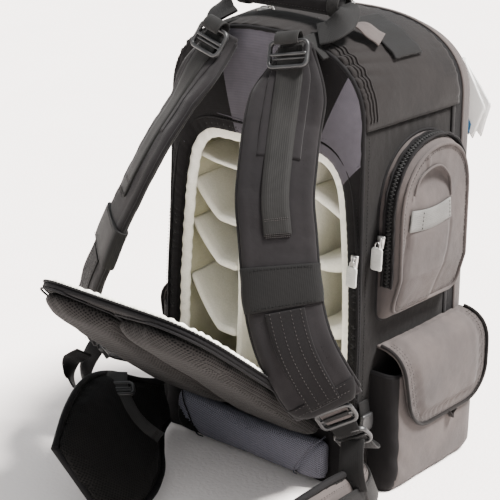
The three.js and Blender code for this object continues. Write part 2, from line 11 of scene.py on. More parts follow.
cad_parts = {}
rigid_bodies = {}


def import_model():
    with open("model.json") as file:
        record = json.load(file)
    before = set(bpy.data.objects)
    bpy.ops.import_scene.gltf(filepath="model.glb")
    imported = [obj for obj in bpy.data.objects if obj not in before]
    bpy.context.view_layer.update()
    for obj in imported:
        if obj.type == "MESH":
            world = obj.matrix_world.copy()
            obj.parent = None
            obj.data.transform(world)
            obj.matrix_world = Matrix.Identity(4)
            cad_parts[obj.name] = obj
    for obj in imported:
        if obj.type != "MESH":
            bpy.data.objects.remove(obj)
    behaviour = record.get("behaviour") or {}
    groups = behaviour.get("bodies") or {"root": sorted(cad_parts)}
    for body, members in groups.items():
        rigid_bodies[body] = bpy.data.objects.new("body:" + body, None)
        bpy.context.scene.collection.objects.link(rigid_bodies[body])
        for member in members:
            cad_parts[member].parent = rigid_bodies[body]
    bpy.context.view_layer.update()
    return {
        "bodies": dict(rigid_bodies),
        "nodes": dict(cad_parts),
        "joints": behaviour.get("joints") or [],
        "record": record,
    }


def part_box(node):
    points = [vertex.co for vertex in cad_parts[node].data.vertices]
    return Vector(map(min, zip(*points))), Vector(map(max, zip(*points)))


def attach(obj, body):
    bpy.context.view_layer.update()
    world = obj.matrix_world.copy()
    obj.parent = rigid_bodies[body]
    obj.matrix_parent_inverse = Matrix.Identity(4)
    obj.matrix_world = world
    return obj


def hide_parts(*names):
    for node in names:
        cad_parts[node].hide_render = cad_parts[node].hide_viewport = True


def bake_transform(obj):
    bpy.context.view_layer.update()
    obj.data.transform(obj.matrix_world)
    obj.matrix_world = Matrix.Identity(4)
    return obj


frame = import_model()

MM = 0.001
SIDES = (("left", -1), ("right", 1))


def box_mm(node):
    low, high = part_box(node)
    return np.array(low) / MM, np.array(high) / MM


# ---- Driving dimensions, in millimetres, read from the frame ----

BACK_LOW, BACK_HIGH = box_mm("back_frame")
SIDE_HIGH = box_mm("side_panel_right")[1]
BACK_Y = BACK_LOW[1]
BASE_HALF = BACK_HIGH[0]
CROWN_Z = BACK_HIGH[2]
SEAM_Z = SIDE_HIGH[2] + 0.3
SEAM_HALF = BASE_HALF - 10
BULKHEAD_Y = box_mm("bulkhead_panel")[0][1]
BULKHEAD_END = box_mm("bulkhead_panel")[1][1]
FRONT_Y = box_mm("front_cover")[1][1]
FRONT_SPLIT_Z = box_mm("front_pocket_base")[1][2]
CROWN_RISE = box_mm("crown_panel")[1][2] - CROWN_Z
CROWN_POWER = 2.4
SIDE_FLARE = 0.055
HINGE = next(j for j in frame["joints"] if j["name"] == "back_flap_hinge")
HINGE_Z = HINGE["pos_m"][2] / MM
FLAP_OPEN = math.radians(HINGE["range_deg"][1])
OPENING_TOP = box_mm("back_zip")[1][2] - 8
LINER_LOW, LINER_HIGH = box_mm("liner_tray")
LINER_WALL = 8
LUMBAR_LOW, LUMBAR_HIGH = box_mm("lumbar_pad")
PAD_WIDTH = 68
PAD_THICK = 12
WEBBING = 25
STRAP_ACROSS = np.array([0.79, 0.61, 0])
STRAP_ROUTE = [
    [42, -97, 444], [46, -103, 430], [53, -118, 410], [60, -137, 380], [70, -156, 350], [79, -171, 320],
    [90, -180, 290], [101, -189, 260], [111, -195, 230], [124, -197, 200], [138, -190, 170],
    [152, -177, 140], [160, -157, 110], [163, -134, 86], [150, -108, 73], [128, -91, 65],
]
WING_THICK = 12
WING_EDGES = {
    "left": {
        "top": [
            [-116, -97, 54], [-131, -122, 60], [-143, -158, 78],
            [-130, -208, 93], [-102, -262, 92], [-72, -310, 72],
        ],
        "bottom": [
            [-112, -96, 7], [-99, -121, 7], [-72, -152, 7],
            [-34, -194, 7], [-10, -244, 7], [-16, -300, 9],
        ],
    },
    "right": {
        "top": [
            [118, -97, 52], [142, -114, 55], [160, -140, 66],
            [163, -186, 74], [158, -238, 70], [142, -286, 54],
        ],
        "bottom": [
            [126, -96, 7], [158, -104, 7], [180, -136, 7],
            [186, -188, 7], [176, -244, 7], [154, -290, 14],
        ],
    },
}


# ---- Small maths ----

def clamp(x):
    return max(0.0, min(1.0, x))


def smooth(x, low, high):
    t = clamp((x - low) / (high - low))
    return t * t * (3 - 2 * t)


def mix(a, b, t):
    return a + (b - a) * t


def whole_turn(count):
    """Angles evenly round a circle, in radians."""
    return np.linspace(0, 2 * math.pi, count, endpoint=False)


def tapered(s, least, rate):
    """1 along the middle of a run, falling at this rate to least at both ends."""
    return min(1, least + rate * s, least + rate * (1 - s))


def unit(v):
    return v / np.linalg.norm(v)


def lump(x, y, z, size, seed=0.0):
    """Smooth noise from -1 to 1; size is the width of one lump in millimetres."""
    return noise.noise(Vector((x / size + seed, y / size - seed, z / size + 2 * seed)))


def catmull(points, count):
    """The centripetal curve through the points, as evenly spaced samples."""
    p = [np.array(q, float) for q in points]
    p = [2 * p[0] - p[1], *p, 2 * p[-1] - p[-2]]
    dense = []
    for i in range(1, len(p) - 2):
        a, b, c, d = p[i - 1:i + 3]
        d0, d1, d2 = (max(np.linalg.norm(q - r), 1e-6) ** 0.5 for q, r in ((a, b), (b, c), (c, d)))
        m1 = ((b - a) / d0 - (c - a) / (d0 + d1) + (c - b) / d1) * d1
        m2 = ((c - b) / d1 - (d - b) / (d1 + d2) + (d - c) / d2) * d1
        for k in range(24):
            t = k / 24
            dense.append(b + m1 * t + (3 * (c - b) - 2 * m1 - m2) * t ** 2 + (2 * (b - c) + m1 + m2) * t ** 3)
    dense.append(p[-2])
    return resample(np.array(dense), count)


def resample(points, count, closed=False):
    points = np.array(points, float)
    if closed:
        points = np.vstack([points, points[:1]])
    steps = np.linalg.norm(np.diff(points, axis=0), axis=1)
    along = np.concatenate([[0], np.cumsum(steps)])
    wanted = np.linspace(0, along[-1], count + (1 if closed else 0))
    out = np.stack([np.interp(wanted, along, points[:, k]) for k in range(points.shape[1])], axis=1)
    return out[:-1] if closed else out


class Route:
    """A smooth curve; at(t) is the point at the share t of its length."""

    def __init__(self, points):
        self.samples = catmull(points, 400)

    def at(self, t):
        x = clamp(t) * (len(self.samples) - 1)
        i = min(int(x), len(self.samples) - 2)
        return mix(self.samples[i], self.samples[i + 1], x - i)

    def tangent(self, t):
        return unit(self.at(min(1, t + 0.004)) - self.at(max(0, t - 0.004)))

    def at_height(self, z):
        return float(np.argmin(np.abs(self.samples[:, 2] - z))) / (len(self.samples) - 1)


# ---- Materials ----

class Nodes:
    """A material's node tree with short calls for the nodes used here."""

    def __init__(self, name, colour, roughness, metallic=0.0, sheen=0.0, specular=0.3):
        self.material = bpy.data.materials.new(name)
        self.material.use_nodes = True
        self.tree = self.material.node_tree
        self.shader = self.tree.nodes["Principled BSDF"]
        self.shader.inputs["Base Color"].default_value = (*colour, 1)
        self.shader.inputs["Roughness"].default_value = roughness
        self.shader.inputs["Metallic"].default_value = metallic
        self.shader.inputs["Specular IOR Level"].default_value = specular
        self.shader.inputs["Sheen Weight"].default_value = sheen
        self.shader.inputs["Sheen Roughness"].default_value = 0.5
        self.material.diffuse_color = (*colour, 1)

    def add(self, kind, **values):
        node = self.tree.nodes.new(kind)
        for key, value in values.items():
            if key in node.inputs:
                node.inputs[key].default_value = value
            else:
                setattr(node, key, value)
        return node

    def link(self, source, target):
        self.tree.links.new(source, target)

    def noise(self, scale, detail):
        coordinates = self.add("ShaderNodeTexCoord")
        texture = self.add("ShaderNodeTexNoise", Scale=scale, Detail=detail)
        self.link(coordinates.outputs["Object"], texture.inputs["Vector"])
        return texture.outputs["Fac"]

    def wave(self, period, direction):
        coordinates = self.add("ShaderNodeTexCoord")
        mapping = self.add("ShaderNodeMapping")
        self.link(coordinates.outputs["UV"], mapping.inputs["Vector"])
        texture = self.add("ShaderNodeTexWave", Scale=0.314159 / period, Distortion=0.4)
        texture.bands_direction = direction
        texture.inputs["Detail Scale"].default_value = 2.0
        self.link(mapping.outputs["Vector"], texture.inputs["Vector"])
        return texture.outputs["Fac"]

    def cells(self, period, turn):
        coordinates = self.add("ShaderNodeTexCoord")
        mapping = self.add("ShaderNodeMapping")
        mapping.inputs["Rotation"].default_value[2] = turn
        mapping.inputs["Scale"].default_value = (1, 1.35, 1)
        self.link(coordinates.outputs["UV"], mapping.inputs["Vector"])
        texture = self.add("ShaderNodeTexVoronoi", Scale=1 / period, Randomness=0.12)
        texture.voronoi_dimensions = "2D"
        self.link(mapping.outputs["Vector"], texture.inputs["Vector"])
        return texture.outputs["Distance"]

    def math(self, operation, a, b):
        node = self.add("ShaderNodeMath", operation=operation)
        for i, value in enumerate((a, b)):
            if isinstance(value, (int, float)):
                node.inputs[i].default_value = value
            else:
                self.link(value, node.inputs[i])
        return node.outputs[0]

    def ramp(self, factor, stops):
        node = self.add("ShaderNodeValToRGB")
        elements = node.color_ramp.elements
        while len(elements) < len(stops):
            elements.new(0.5)
        for element, (position, colour) in zip(elements, stops):
            element.position = position
            element.color = (*colour, 1)
        self.link(factor, node.inputs["Fac"])
        return node.outputs["Color"]

    def blend(self, mode, factor, a, b):
        node = self.add("ShaderNodeMix", data_type="RGBA", blend_type=mode)
        if isinstance(factor, (int, float)):
            node.inputs["Factor"].default_value = factor
        else:
            self.link(factor, node.inputs["Factor"])
        for index, value in ((6, a), (7, b)):
            if isinstance(value, tuple):
                node.inputs[index].default_value = (*value, 1)
            else:
                self.link(value, node.inputs[index])
        return node.outputs[2]

    def colour(self, output):
        self.link(output, self.shader.inputs["Base Color"])

    def roughness(self, factor, low, high):
        node = self.add("ShaderNodeMapRange")
        node.inputs["To Min"].default_value = low
        node.inputs["To Max"].default_value = high
        self.link(factor, node.inputs["Value"])
        self.link(node.outputs["Result"], self.shader.inputs["Roughness"])

    def bump(self, *layers):
        """Each layer is (height output, distance in metres), stacked."""
        last = None
        for height, distance in layers:
            node = self.add("ShaderNodeBump", Strength=1.0, Distance=distance)
            self.link(height, node.inputs["Height"])
            if last is not None:
                self.link(last, node.inputs["Normal"])
            last = node.outputs["Normal"]
        self.link(last, self.shader.inputs["Normal"])


def scaled(colour, factor):
    return tuple(clamp(c * factor) for c in colour)


def woven(name, colour, period, warm=1.0, sheen=0.05, roughness=0.8):
    """Plain woven nylon: crossing threads, patchy dye and a dusty sheen."""
    n = Nodes(name, colour, roughness, sheen=sheen, specular=0.07)
    warp = n.wave(period * MM, "X")
    weft = n.wave(period * MM, "Y")
    weave = n.math("MULTIPLY", n.math("ADD", warp, weft), 0.5)
    patches = n.noise(14, 4)
    dust = n.noise(120, 2)
    pale = tuple(clamp(c * 1.25 * w) for c, w in zip(colour, (warm, 1.0, 2 - warm)))
    tone = n.ramp(patches, [(0.3, scaled(colour, 0.84)), (0.72, pale)])
    threads = n.ramp(weave, [(0.1, (0.84,) * 3), (0.75, (1.0,) * 3)])
    specks = n.ramp(dust, [(0.35, (0.9, 0.9, 0.9)), (0.7, (1.0, 1.0, 1.0))])
    n.colour(n.blend("MULTIPLY", 1.0, n.blend("MULTIPLY", 1.0, tone, threads), specks))
    n.roughness(dust, roughness - 0.12, roughness + 0.1)
    n.bump((patches, 0.0011), (dust, 0.0004), (weave, 0.00012))
    return n.material


def spacer_mesh(name, colour, hole, period):
    """Knitted spacer mesh: rows of small holes over dark foam."""
    n = Nodes(name, colour, 0.85, sheen=0.02, specular=0.06)
    holes = n.cells(period * MM, math.radians(45))
    patches = n.noise(18, 3)
    fuzz = n.noise(420, 2)
    net = n.ramp(holes, [(0.18, hole), (0.42, colour)])
    tone = n.ramp(patches, [(0.3, (0.82, 0.82, 0.82)), (0.7, (1.0, 1.0, 1.0))])
    n.colour(n.blend("MULTIPLY", 1.0, net, tone))
    n.roughness(fuzz, 0.7, 0.95)
    n.bump((patches, 0.0012), (holes, 0.0006), (fuzz, 0.0001))
    return n.material


def ribbed_webbing(name, colour):
    """Webbing: ribs across its length, a fine warp along it."""
    n = Nodes(name, colour, 0.62, sheen=0.03, specular=0.09)
    ribs = n.wave(MM, "Y")
    warp = n.wave(1.9 * MM, "X")
    patches = n.noise(30, 3)
    tone = n.ramp(patches, [(0.3, scaled(colour, 0.8)), (0.7, scaled(colour, 1.25))])
    weave = n.math("MULTIPLY", n.math("ADD", ribs, warp), 0.5)
    lines = n.ramp(weave, [(0.15, (0.84,) * 3), (0.7, (1.0,) * 3)])
    n.colour(n.blend("MULTIPLY", 1.0, tone, lines))
    n.roughness(patches, 0.5, 0.75)
    n.bump((patches, 0.0005), (warp, 0.00008), (ribs, 0.00014))
    return n.material


def brushed_lining(name, pale, deep):
    """Brushed loop cloth: soft nap with faint creases and tone changes."""
    n = Nodes(name, pale, 0.92, sheen=0.15, specular=0.15)
    patches = n.noise(20, 4)
    nap = n.noise(650, 3)
    creases = n.noise(60, 2)
    tone = n.ramp(patches, [(0.25, deep), (0.65, pale)])
    fine = n.ramp(nap, [(0.3, (0.88, 0.88, 0.86)), (0.7, (1.0, 1.0, 1.0))])
    n.colour(n.blend("MULTIPLY", 1.0, tone, fine))
    n.roughness(nap, 0.85, 0.98)
    n.bump((creases, 0.0012), (nap, 0.00025))
    return n.material


def moulded(name, colour, roughness=0.42, specular=0.5):
    """Moulded plastic: satin with fine grain and rubbed places."""
    n = Nodes(name, colour, roughness, specular=specular)
    rub = n.noise(70, 4)
    fine = n.noise(900, 2)
    rubbed = tuple(clamp(c * 1.3 + 0.01) for c in colour)
    n.colour(n.ramp(rub, [(0.35, scaled(colour, 0.85)), (0.75, rubbed)]))
    n.roughness(rub, roughness - 0.12, roughness + 0.16)
    n.bump((fine, 0.00008), (rub, 0.0002))
    return n.material


def nickel(name, colour):
    """Die-cast metal with a brushed, slightly tarnished surface."""
    n = Nodes(name, colour, 0.35, metallic=1.0, specular=0.5)
    tarnish = n.noise(160, 4)
    grain = n.noise(1500, 2)
    n.colour(n.ramp(tarnish, [(0.3, scaled(colour, 0.6)), (0.7, scaled(colour, 1.15))]))
    n.roughness(tarnish, 0.22, 0.5)
    n.bump((grain, 0.00006), (tarnish, 0.0001))
    return n.material


def card_stock(name, colour):
    """Coated card with faint mottling."""
    n = Nodes(name, colour, 0.5, specular=0.35)
    mottle = n.noise(90, 5)
    n.colour(n.ramp(mottle, [(0.3, scaled(colour, 0.94)), (0.7, colour)]))
    n.roughness(mottle, 0.42, 0.6)
    n.bump((n.noise(500, 3), 0.00008))
    return n.material


NYLON = woven("nylon_charcoal", (0.057, 0.0497, 0.0486), 1.0, warm=1.04)
NYLON_CROWN = woven("nylon_crown", (0.0086, 0.0077, 0.0078), 1.0, warm=1.06)
# Side panel nylon is near-black: partly dark cloth, partly painted shade, since the flat sides would otherwise
# show lit
NYLON_SIDE_DARK_AND_SHADE = woven("nylon_side_dark_and_shade", (0.0052, 0.0046, 0.0046), 1.0, warm=1.05)
NYLON_DARK = woven("nylon_black", (0.0056, 0.0050, 0.0053), 1.0)
NYLON_BLUE = woven("nylon_blue_grey", (0.074, 0.068, 0.079), 1.0, warm=0.98)
NYLON_PAD = woven("nylon_strap", (0.0092, 0.0083, 0.0090), 1.0, warm=1.02)
MESH_BLACK = spacer_mesh("mesh_black", (0.0100, 0.0094, 0.0091), (0.0010, 0.0010, 0.0010), 2.8)
MESH_FLAP = spacer_mesh("mesh_flap", (0.021, 0.0193, 0.0185), (0.0008, 0.0008, 0.0008), 3.2)
MESH_BLUE = spacer_mesh("mesh_blue_grey", (0.14, 0.14, 0.168), (0.015, 0.015, 0.019), 2.0)
WEB_BLACK = ribbed_webbing("webbing_black", (0.0048, 0.0046, 0.0046))
WEB_GREY = ribbed_webbing("webbing_grey", (0.110, 0.108, 0.103))
WEB_MID = ribbed_webbing("webbing_belt", (0.026, 0.0255, 0.025))
WEB_DARK = ribbed_webbing("webbing_charcoal", (0.0096, 0.0093, 0.0090))
BINDING = woven("binding_tape", (0.006, 0.0056, 0.006), 0.8, sheen=0.02, roughness=0.7)
THREAD = woven("thread_dark", (0.006, 0.006, 0.006), 0.5, sheen=0.0, roughness=0.6)
THREAD_PALE = woven("thread_grey", (0.034, 0.031, 0.030), 0.5, sheen=0.0, roughness=0.6)
CREAM = brushed_lining("lining_cream", (0.90, 0.875, 0.80), (0.80, 0.77, 0.67))
KHAKI = brushed_lining("divider_khaki", (0.87, 0.85, 0.77), (0.76, 0.74, 0.63))
# The liner's olive is its khaki cloth darkened by painted shade of the deep cells
LINER_KHAKI_AND_SHADE = brushed_lining("liner_khaki_and_shade", (0.57, 0.545, 0.42), (0.37, 0.35, 0.22))
PLASTIC = moulded("acetal_black", (0.008, 0.008, 0.0085))
PLASTIC_GREY = moulded("pull_grey", (0.40, 0.40, 0.38), 0.5)
COIL = moulded("zip_coil", (0.012, 0.012, 0.012), 0.6, specular=0.1)
METAL = nickel("slider_nickel", (0.42, 0.41, 0.40))
CARD = card_stock("card_white", (0.86, 0.86, 0.84))
CARD_BLUE = card_stock("card_blue", (0.02, 0.12, 0.25))


# ---- Mesh helpers; points are in millimetres, outward faces are wound by the caller ----

def new_object(name, points, faces, material, loop_uvs=None):
    mesh = bpy.data.meshes.new(name)
    mesh.from_pydata([tuple(p) for p in np.asarray(points, float) * MM], [], faces)
    mesh.materials.append(material)
    mesh.polygons.foreach_set("use_smooth", [True] * len(mesh.polygons))
    obj = bpy.data.objects.new(name, mesh)
    bpy.context.scene.collection.objects.link(obj)
    if loop_uvs is None:
        box_uv(obj)
    else:
        layer = mesh.uv_layers.new(name="UVMap")
        layer.data.foreach_set("uv", (np.asarray(loop_uvs, float) * MM).ravel())
    return obj


def box_uv(obj):
    """Flat UVs in metres, taken along the axis that each face looks down."""
    mesh = obj.data
    layer = mesh.uv_layers.get("UVMap") or mesh.uv_layers.new(name="UVMap")
    co = np.array([v.co for v in mesh.vertices])
    flat = {0: (1, 2), 1: (0, 2), 2: (0, 1)}
    uvs = np.zeros((len(mesh.loops), 2))
    for polygon in mesh.polygons:
        a, b = flat[int(np.argmax(np.abs(polygon.normal)))]
        for i in polygon.loop_indices:
            point = co[mesh.loops[i].vertex_index]
            uvs[i] = point[a], point[b]
    layer.data.foreach_set("uv", uvs.ravel())


def along(points):
    return np.concatenate([[0], np.cumsum(np.linalg.norm(np.diff(points, axis=0), axis=1))])


def surface(name, rows, material, closed=False, caps=False, flip=False):
    """A quad sheet through rows of points; closed joins each row's ends, caps fill the first and last row."""
    rows = np.asarray(rows, float)
    count, width = rows.shape[:2]
    middle = rows[count // 2]
    u = along(np.vstack([middle, middle[:1]]) if closed else middle)
    v = np.concatenate([[0], np.cumsum(np.linalg.norm(np.diff(rows, axis=0), axis=2).mean(axis=1))])
    faces, uvs = [], []
    for r in range(count - 1):
        for c in range(width if closed else width - 1):
            d = (c + 1) % width
            face = [(r, c, c), (r, d, c + 1), (r + 1, d, c + 1), (r + 1, c, c)]
            face = face[::-1] if flip else face
            faces.append([row * width + column for row, column, _ in face])
            uvs += [(u[across], v[row]) for row, _, across in face]
    if caps:
        for row, order in ((0, -1), (count - 1, 1)):
            order = -order if flip else order
            ring = list(range(width))[::order]
            faces.append([row * width + c for c in ring])
            uvs += [(u[c], v[row]) for c in ring]
    return new_object(name, rows.reshape(-1, 3), faces, material, uvs)


def modifier(obj, kind, **values):
    added = obj.modifiers.new(kind.title(), kind)
    for key, value in values.items():
        setattr(added, key, value)
    return obj


def thicken(obj, thick, offset=-1.0):
    return modifier(obj, "SOLIDIFY", thickness=thick * MM, offset=offset)


def soften(obj):
    return modifier(obj, "SUBSURF", levels=1, render_levels=1)


def applied(obj):
    graph = bpy.context.evaluated_depsgraph_get()
    mesh = bpy.data.meshes.new_from_object(obj.evaluated_get(graph))
    obj.modifiers.clear()
    obj.data = mesh
    return obj


def welded(obj):
    """Join the vertices that lie within 0.05 mm of each other."""
    mesh = bmesh.new()
    mesh.from_mesh(obj.data)
    bmesh.ops.remove_doubles(mesh, verts=mesh.verts, dist=0.05 * MM)
    mesh.to_mesh(obj.data)
    mesh.free()
    return obj


def outward(obj):
    mesh = bmesh.new()
    mesh.from_mesh(obj.data)
    bmesh.ops.recalc_face_normals(mesh, faces=mesh.faces)
    mesh.to_mesh(obj.data)
    mesh.free()
    return obj


def wrinkle(obj, height):
    """Moves each point along its normal by height(x, y, z), all in millimetres."""
    co = np.array([v.co for v in obj.data.vertices]) / MM
    normals = np.array([v.normal for v in obj.data.vertices])
    moves = np.array([height(*p) for p in co])
    obj.data.vertices.foreach_set("co", ((co + normals * moves[:, None]) * MM).ravel())
    obj.data.update()
    return obj


def paint(obj, material, inside):
    """Gives the faces whose middle is inside(x, y, z) another material."""
    obj.data.materials.append(material)
    index = len(obj.data.materials) - 1
    for polygon in obj.data.polygons:
        if inside(*(polygon.center / MM)):
            polygon.material_index = index
    return obj


def place(obj, body, nodes=()):
    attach(obj, body)
    return finished(obj, nodes)


def finished(obj, nodes=()):
    if nodes:
        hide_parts(*nodes)
    return obj


def stadium(width, thick, flat, round_steps):
    """A section with round ends: across is X, outward is Y."""
    half, r = width / 2 - thick / 2, thick / 2
    angles = np.linspace(-math.pi / 2, math.pi / 2, round_steps)
    arc = [(half + r * math.cos(a), r * math.sin(a)) for a in angles]
    top = [(mix(half, -half, t), r) for t in np.linspace(0, 1, flat + 1)[1:-1]]
    right = arc + top
    return right + [(-x, -y) for x, y in right]


def strap_section(width, thick):
    """Webbing: flat faces with barely rounded edges."""
    w, t, c = width / 2, thick / 2, thick * 0.3
    corner = [(w - c, -t), (w, -t + c), (w, t - c), (w - c, t)]
    face = [(w * k, t) for k in (0.5, 0, -0.5)]
    return corner + face + [(-x, -y) for x, y in corner + face]


def pillow(width, thick, count, power=2.8):
    """A crowned pad section, fuller than an ellipse."""
    points = []
    for a in whole_turn(count):
        x, y = math.cos(a), math.sin(a)
        points.append((width / 2 * math.copysign(abs(x) ** (2 / power), x),
                       thick / 2 * math.copysign(abs(y) ** (2 / power), y)))
    return points


def tangents_of(points, closed):
    if closed:
        return np.roll(points, -1, axis=0) - np.roll(points, 1, axis=0)
    return np.gradient(points, axis=0)


def frames_on(points, across, closed=False):
    """(origin, across, outward) at each point, with outward = tangent x across."""
    points = np.asarray(points, float)
    tangents = tangents_of(points, closed)
    frames = []
    for i, (p, tangent) in enumerate(zip(points, tangents)):
        tangent = unit(tangent)
        a = np.array(across(i / max(1, len(points) - 1)) if callable(across) else across, float)
        a = unit(a - tangent * np.dot(a, tangent))
        frames.append((p, a, np.cross(tangent, a)))
    return frames


def sweep(name, frames, section, material, scale=None, closed=False, lift=0.0):
    """Bends a section along frames. scale(share) gives its width and thickness factors."""
    rows = []
    for i, (origin, across, normal) in enumerate(frames):
        sx, sy = scale(i / (len(frames) - 1)) if scale else (1, 1)
        rows.append([origin + across * x * sx + normal * (y * sy + lift) for x, y in section])
    if closed:
        rows.append(rows[0])
    obj = surface(name, rows, material, closed=True, caps=not closed)
    return outward(welded(obj) if closed else obj)


def tube(name, points, radius, material, closed=False, sides=8):
    section = [(radius * math.cos(a), radius * math.sin(a)) for a in whole_turn(sides)]
    points = np.asarray(points, float)
    tangents = tangents_of(points, closed)
    across = unit(np.cross(unit(tangents[0]), [0.31, 0.27, 0.91]))
    frames = []
    for p, tangent in zip(points, tangents):
        tangent = unit(tangent)
        across = unit(across - tangent * np.dot(across, tangent))
        frames.append((p, across, np.cross(tangent, across)))
    return sweep(name, frames, section, material, closed=closed)


def joined(name, chunks, material):
    """One object from (points, faces) chunks."""
    points, faces = [], []
    for chunk_points, chunk_faces in chunks:
        base = len(points)
        points += [tuple(p) for p in chunk_points]
        faces += [[base + i for i in face] for face in chunk_faces]
    return new_object(name, points, faces, material)


BOX_FACES = [(0, 1, 3, 2), (4, 6, 7, 5), (0, 4, 5, 1), (2, 3, 7, 6), (0, 2, 6, 4), (1, 5, 7, 3)]
TOOTH_PITCH = 1.9
STITCH_FACES = [(0, 2, 1), (0, 3, 2), (0, 4, 3), (0, 1, 4), (5, 1, 2), (5, 2, 3), (5, 3, 4), (5, 4, 1)]


def stitches(name, paths, material, pitch=3.6, length=2.6, radius=0.42):
    """Rows of thread, each stitch a short spindle lying on its path."""
    chunks = []
    for path in paths:
        path = np.asarray(path, float)
        total = along(path)[-1]
        points = resample(path, max(2, int(total / pitch)) * 4 + 1)
        for i in range(0, len(points) - 4, 4):
            a, b = points[i], points[i + 3]
            tangent = unit(b - a)
            side = unit(np.cross(tangent, [0.3, 0.5, 0.81]))
            up = np.cross(tangent, side)
            middle, half = (a + b) / 2, tangent * length / 2
            ring = [middle + radius * v for v in (side, up, -side, -up)]
            chunks.append(([middle - half, *ring, middle + half], STITCH_FACES))
    return joined(name, chunks, material)


def zip_coil(name, frames, width):
    """Interlocked zip teeth: small bars across the frames, alternately reaching from each tape."""
    points = np.array([f[0] for f in frames])
    total = along(points)
    chunks = []
    for i, s in enumerate(np.arange(0, total[-1], TOOTH_PITCH)):
        k = min(int(np.searchsorted(total, s)), len(frames) - 1)
        j = max(0, k - 1)
        share = (s - total[j]) / max(total[k] - total[j], 1e-6)
        origin = mix(points[j], points[k], share)
        _, across, normal = frames[k]
        tangent = np.cross(across, normal)
        shift = across * (0.8 if i % 2 else -0.8)
        corners = [
            origin + shift + across * a * (width / 2 - 0.5 * (c > 0))
            + tangent * b * TOOTH_PITCH * 0.36 + normal * c * 0.55
            for a in (-1, 1) for b in (-1, 1) for c in (-1, 1)
        ]
        chunks.append((corners, BOX_FACES))
    return outward(joined(name, chunks, COIL))


PUFF_VOXEL = 5
PUFF_PRESSURE = 4
PUFF_FRAMES = 20


def puff(obj, cap):
    """Remeshes a pad, swells it as cloth and keeps each point within cap millimetres of where it was."""
    modifier(obj, "REMESH", mode="VOXEL", voxel_size=PUFF_VOXEL * MM, use_smooth_shade=True)
    applied(obj)
    start = np.array([v.co for v in obj.data.vertices])
    cloth = obj.modifiers.new("Cloth", "CLOTH").settings
    cloth.quality = 4
    cloth.mass = 0.3
    cloth.tension_stiffness = 12
    cloth.compression_stiffness = 12
    cloth.shear_stiffness = 6
    cloth.bending_stiffness = 0.4
    cloth.use_pressure = True
    cloth.uniform_pressure_force = PUFF_PRESSURE
    cloth.effector_weights.gravity = 0
    for number in range(1, PUFF_FRAMES + 1):
        bpy.context.scene.frame_set(number)
    applied(obj)
    bpy.context.scene.frame_set(1)
    end = np.array([v.co for v in obj.data.vertices])
    move = end - start
    length = np.linalg.norm(move, axis=1, keepdims=True)
    end = start + move * np.minimum(1, cap * MM / np.maximum(length, 1e-9))
    obj.data.vertices.foreach_set("co", end.ravel())
    obj.data.update()
    modifier(obj, "SMOOTH", factor=0.5, iterations=3)
    soften(obj)
    applied(obj)
    obj.data.polygons.foreach_set("use_smooth", [True] * len(obj.data.polygons))
    box_uv(obj)
    return obj


def slab(name, loop, low, high, material, rings):
    """A closed plate between two heights along Y, from an (x, z) loop, for pads that are then puffed."""
    loop = np.asarray(loop, float)
    centre = loop.mean(axis=0)
    rows = []
    for y, order in ((low, range(rings + 1)), (high, range(rings, -1, -1))):
        for k in order:
            share = max(k / rings, 0.02)
            ring = centre + (loop - centre) * share
            rows.append([(x, y, z) for x, z in ring])
    return outward(surface(name, rows, material, closed=True, caps=True))


# ---- Shell outline, as the frame has it ----

def wall_half(z):
    return BASE_HALF + (SEAM_HALF - BASE_HALF) * min(z, SEAM_Z) / SEAM_Z


def side_x(y, z):
    return wall_half(z) + SIDE_FLARE * (y - BACK_Y)


def flare(x, y, z):
    bulge = math.sin(math.pi * clamp((y - BACK_Y) / (BULKHEAD_Y - BACK_Y)))
    lift = CROWN_RISE * bulge * max(0, z - SEAM_Z) / (CROWN_Z - SEAM_Z)
    return np.array([x * (1 + SIDE_FLARE * (y - BACK_Y) / wall_half(z)), y, z + lift])


def dome_front(x, y, z):
    x, y, z = flare(x, y, z)
    t = clamp((y - BULKHEAD_END) / (FRONT_Y - BULKHEAD_END)) ** 3
    middle = 205
    return np.array([x * (1 - 0.22 * t), y, middle + (z - middle) * (1 - 0.09 * t) if z > middle else z])


def crown_point(angle, grow):
    c, s = math.cos(angle), math.sin(angle)
    power = 2 / CROWN_POWER
    x = (SEAM_HALF + grow) * math.copysign(abs(c) ** power, c)
    return x, SEAM_Z + (CROWN_Z - SEAM_Z + grow) * abs(s) ** power


def crown_loop(grow):
    return resample([crown_point(math.radians(a), grow) for a in np.linspace(0, 180, 721)], 97)


def arch_loop(grow=0.0, bottom=0.0, count=241):
    """The body's outline from the lower right, over the crown, to the lower left, as (x, z)."""
    foot = wall_half(bottom) + grow
    return resample([(foot, bottom), *crown_loop(grow), (-foot, bottom)], count)


def bezier(points, t):
    points = [np.array(p, float) for p in points]
    while len(points) > 1:
        points = [mix(a, b, t) for a, b in zip(points, points[1:])]
    return points[0]


def bend(points, steps):
    """Points along the Bezier curve that these control points give."""
    return [tuple(bezier(points, t)) for t in steps]


def opening_half(offset, bottom_offset=None):
    """The right half of the rear opening, from the middle of its lower edge to the middle of its top."""
    drop = offset if bottom_offset is None else bottom_offset
    bottom, top = HINGE_Z - drop, OPENING_TOP + offset
    steps = np.linspace(0, 1, 16)
    corner = [(92 + offset, bottom), (107 + offset, bottom), (109 + offset, bottom + 26)]
    side = [(109 + offset, bottom + 26), (112 + offset, 150), (108 + offset, 235), (99 + offset, 300)]
    crown = [(99 + offset, 300), (92 + offset, top), (56, top)]
    curves = bend(corner, steps) + bend(side, steps[1:]) + bend(crown, steps[1:])
    return [(0, bottom), *curves, (0, top)]


def opening_loop(offset=0.0, bottom_offset=None, count=240):
    half = opening_half(offset, bottom_offset)
    left = [(-x, z) for x, z in half[-2:0:-1]]
    return resample(half + left, count, closed=True)


def opening_arch(offset, from_z, count):
    """The opening's outline without its lower edge, from the right foot to the left foot."""
    half = [p for p in opening_half(offset) if p[1] > from_z]
    left = [(-x, z) for x, z in half[::-1] if x > 0]
    return resample(half + left, count)


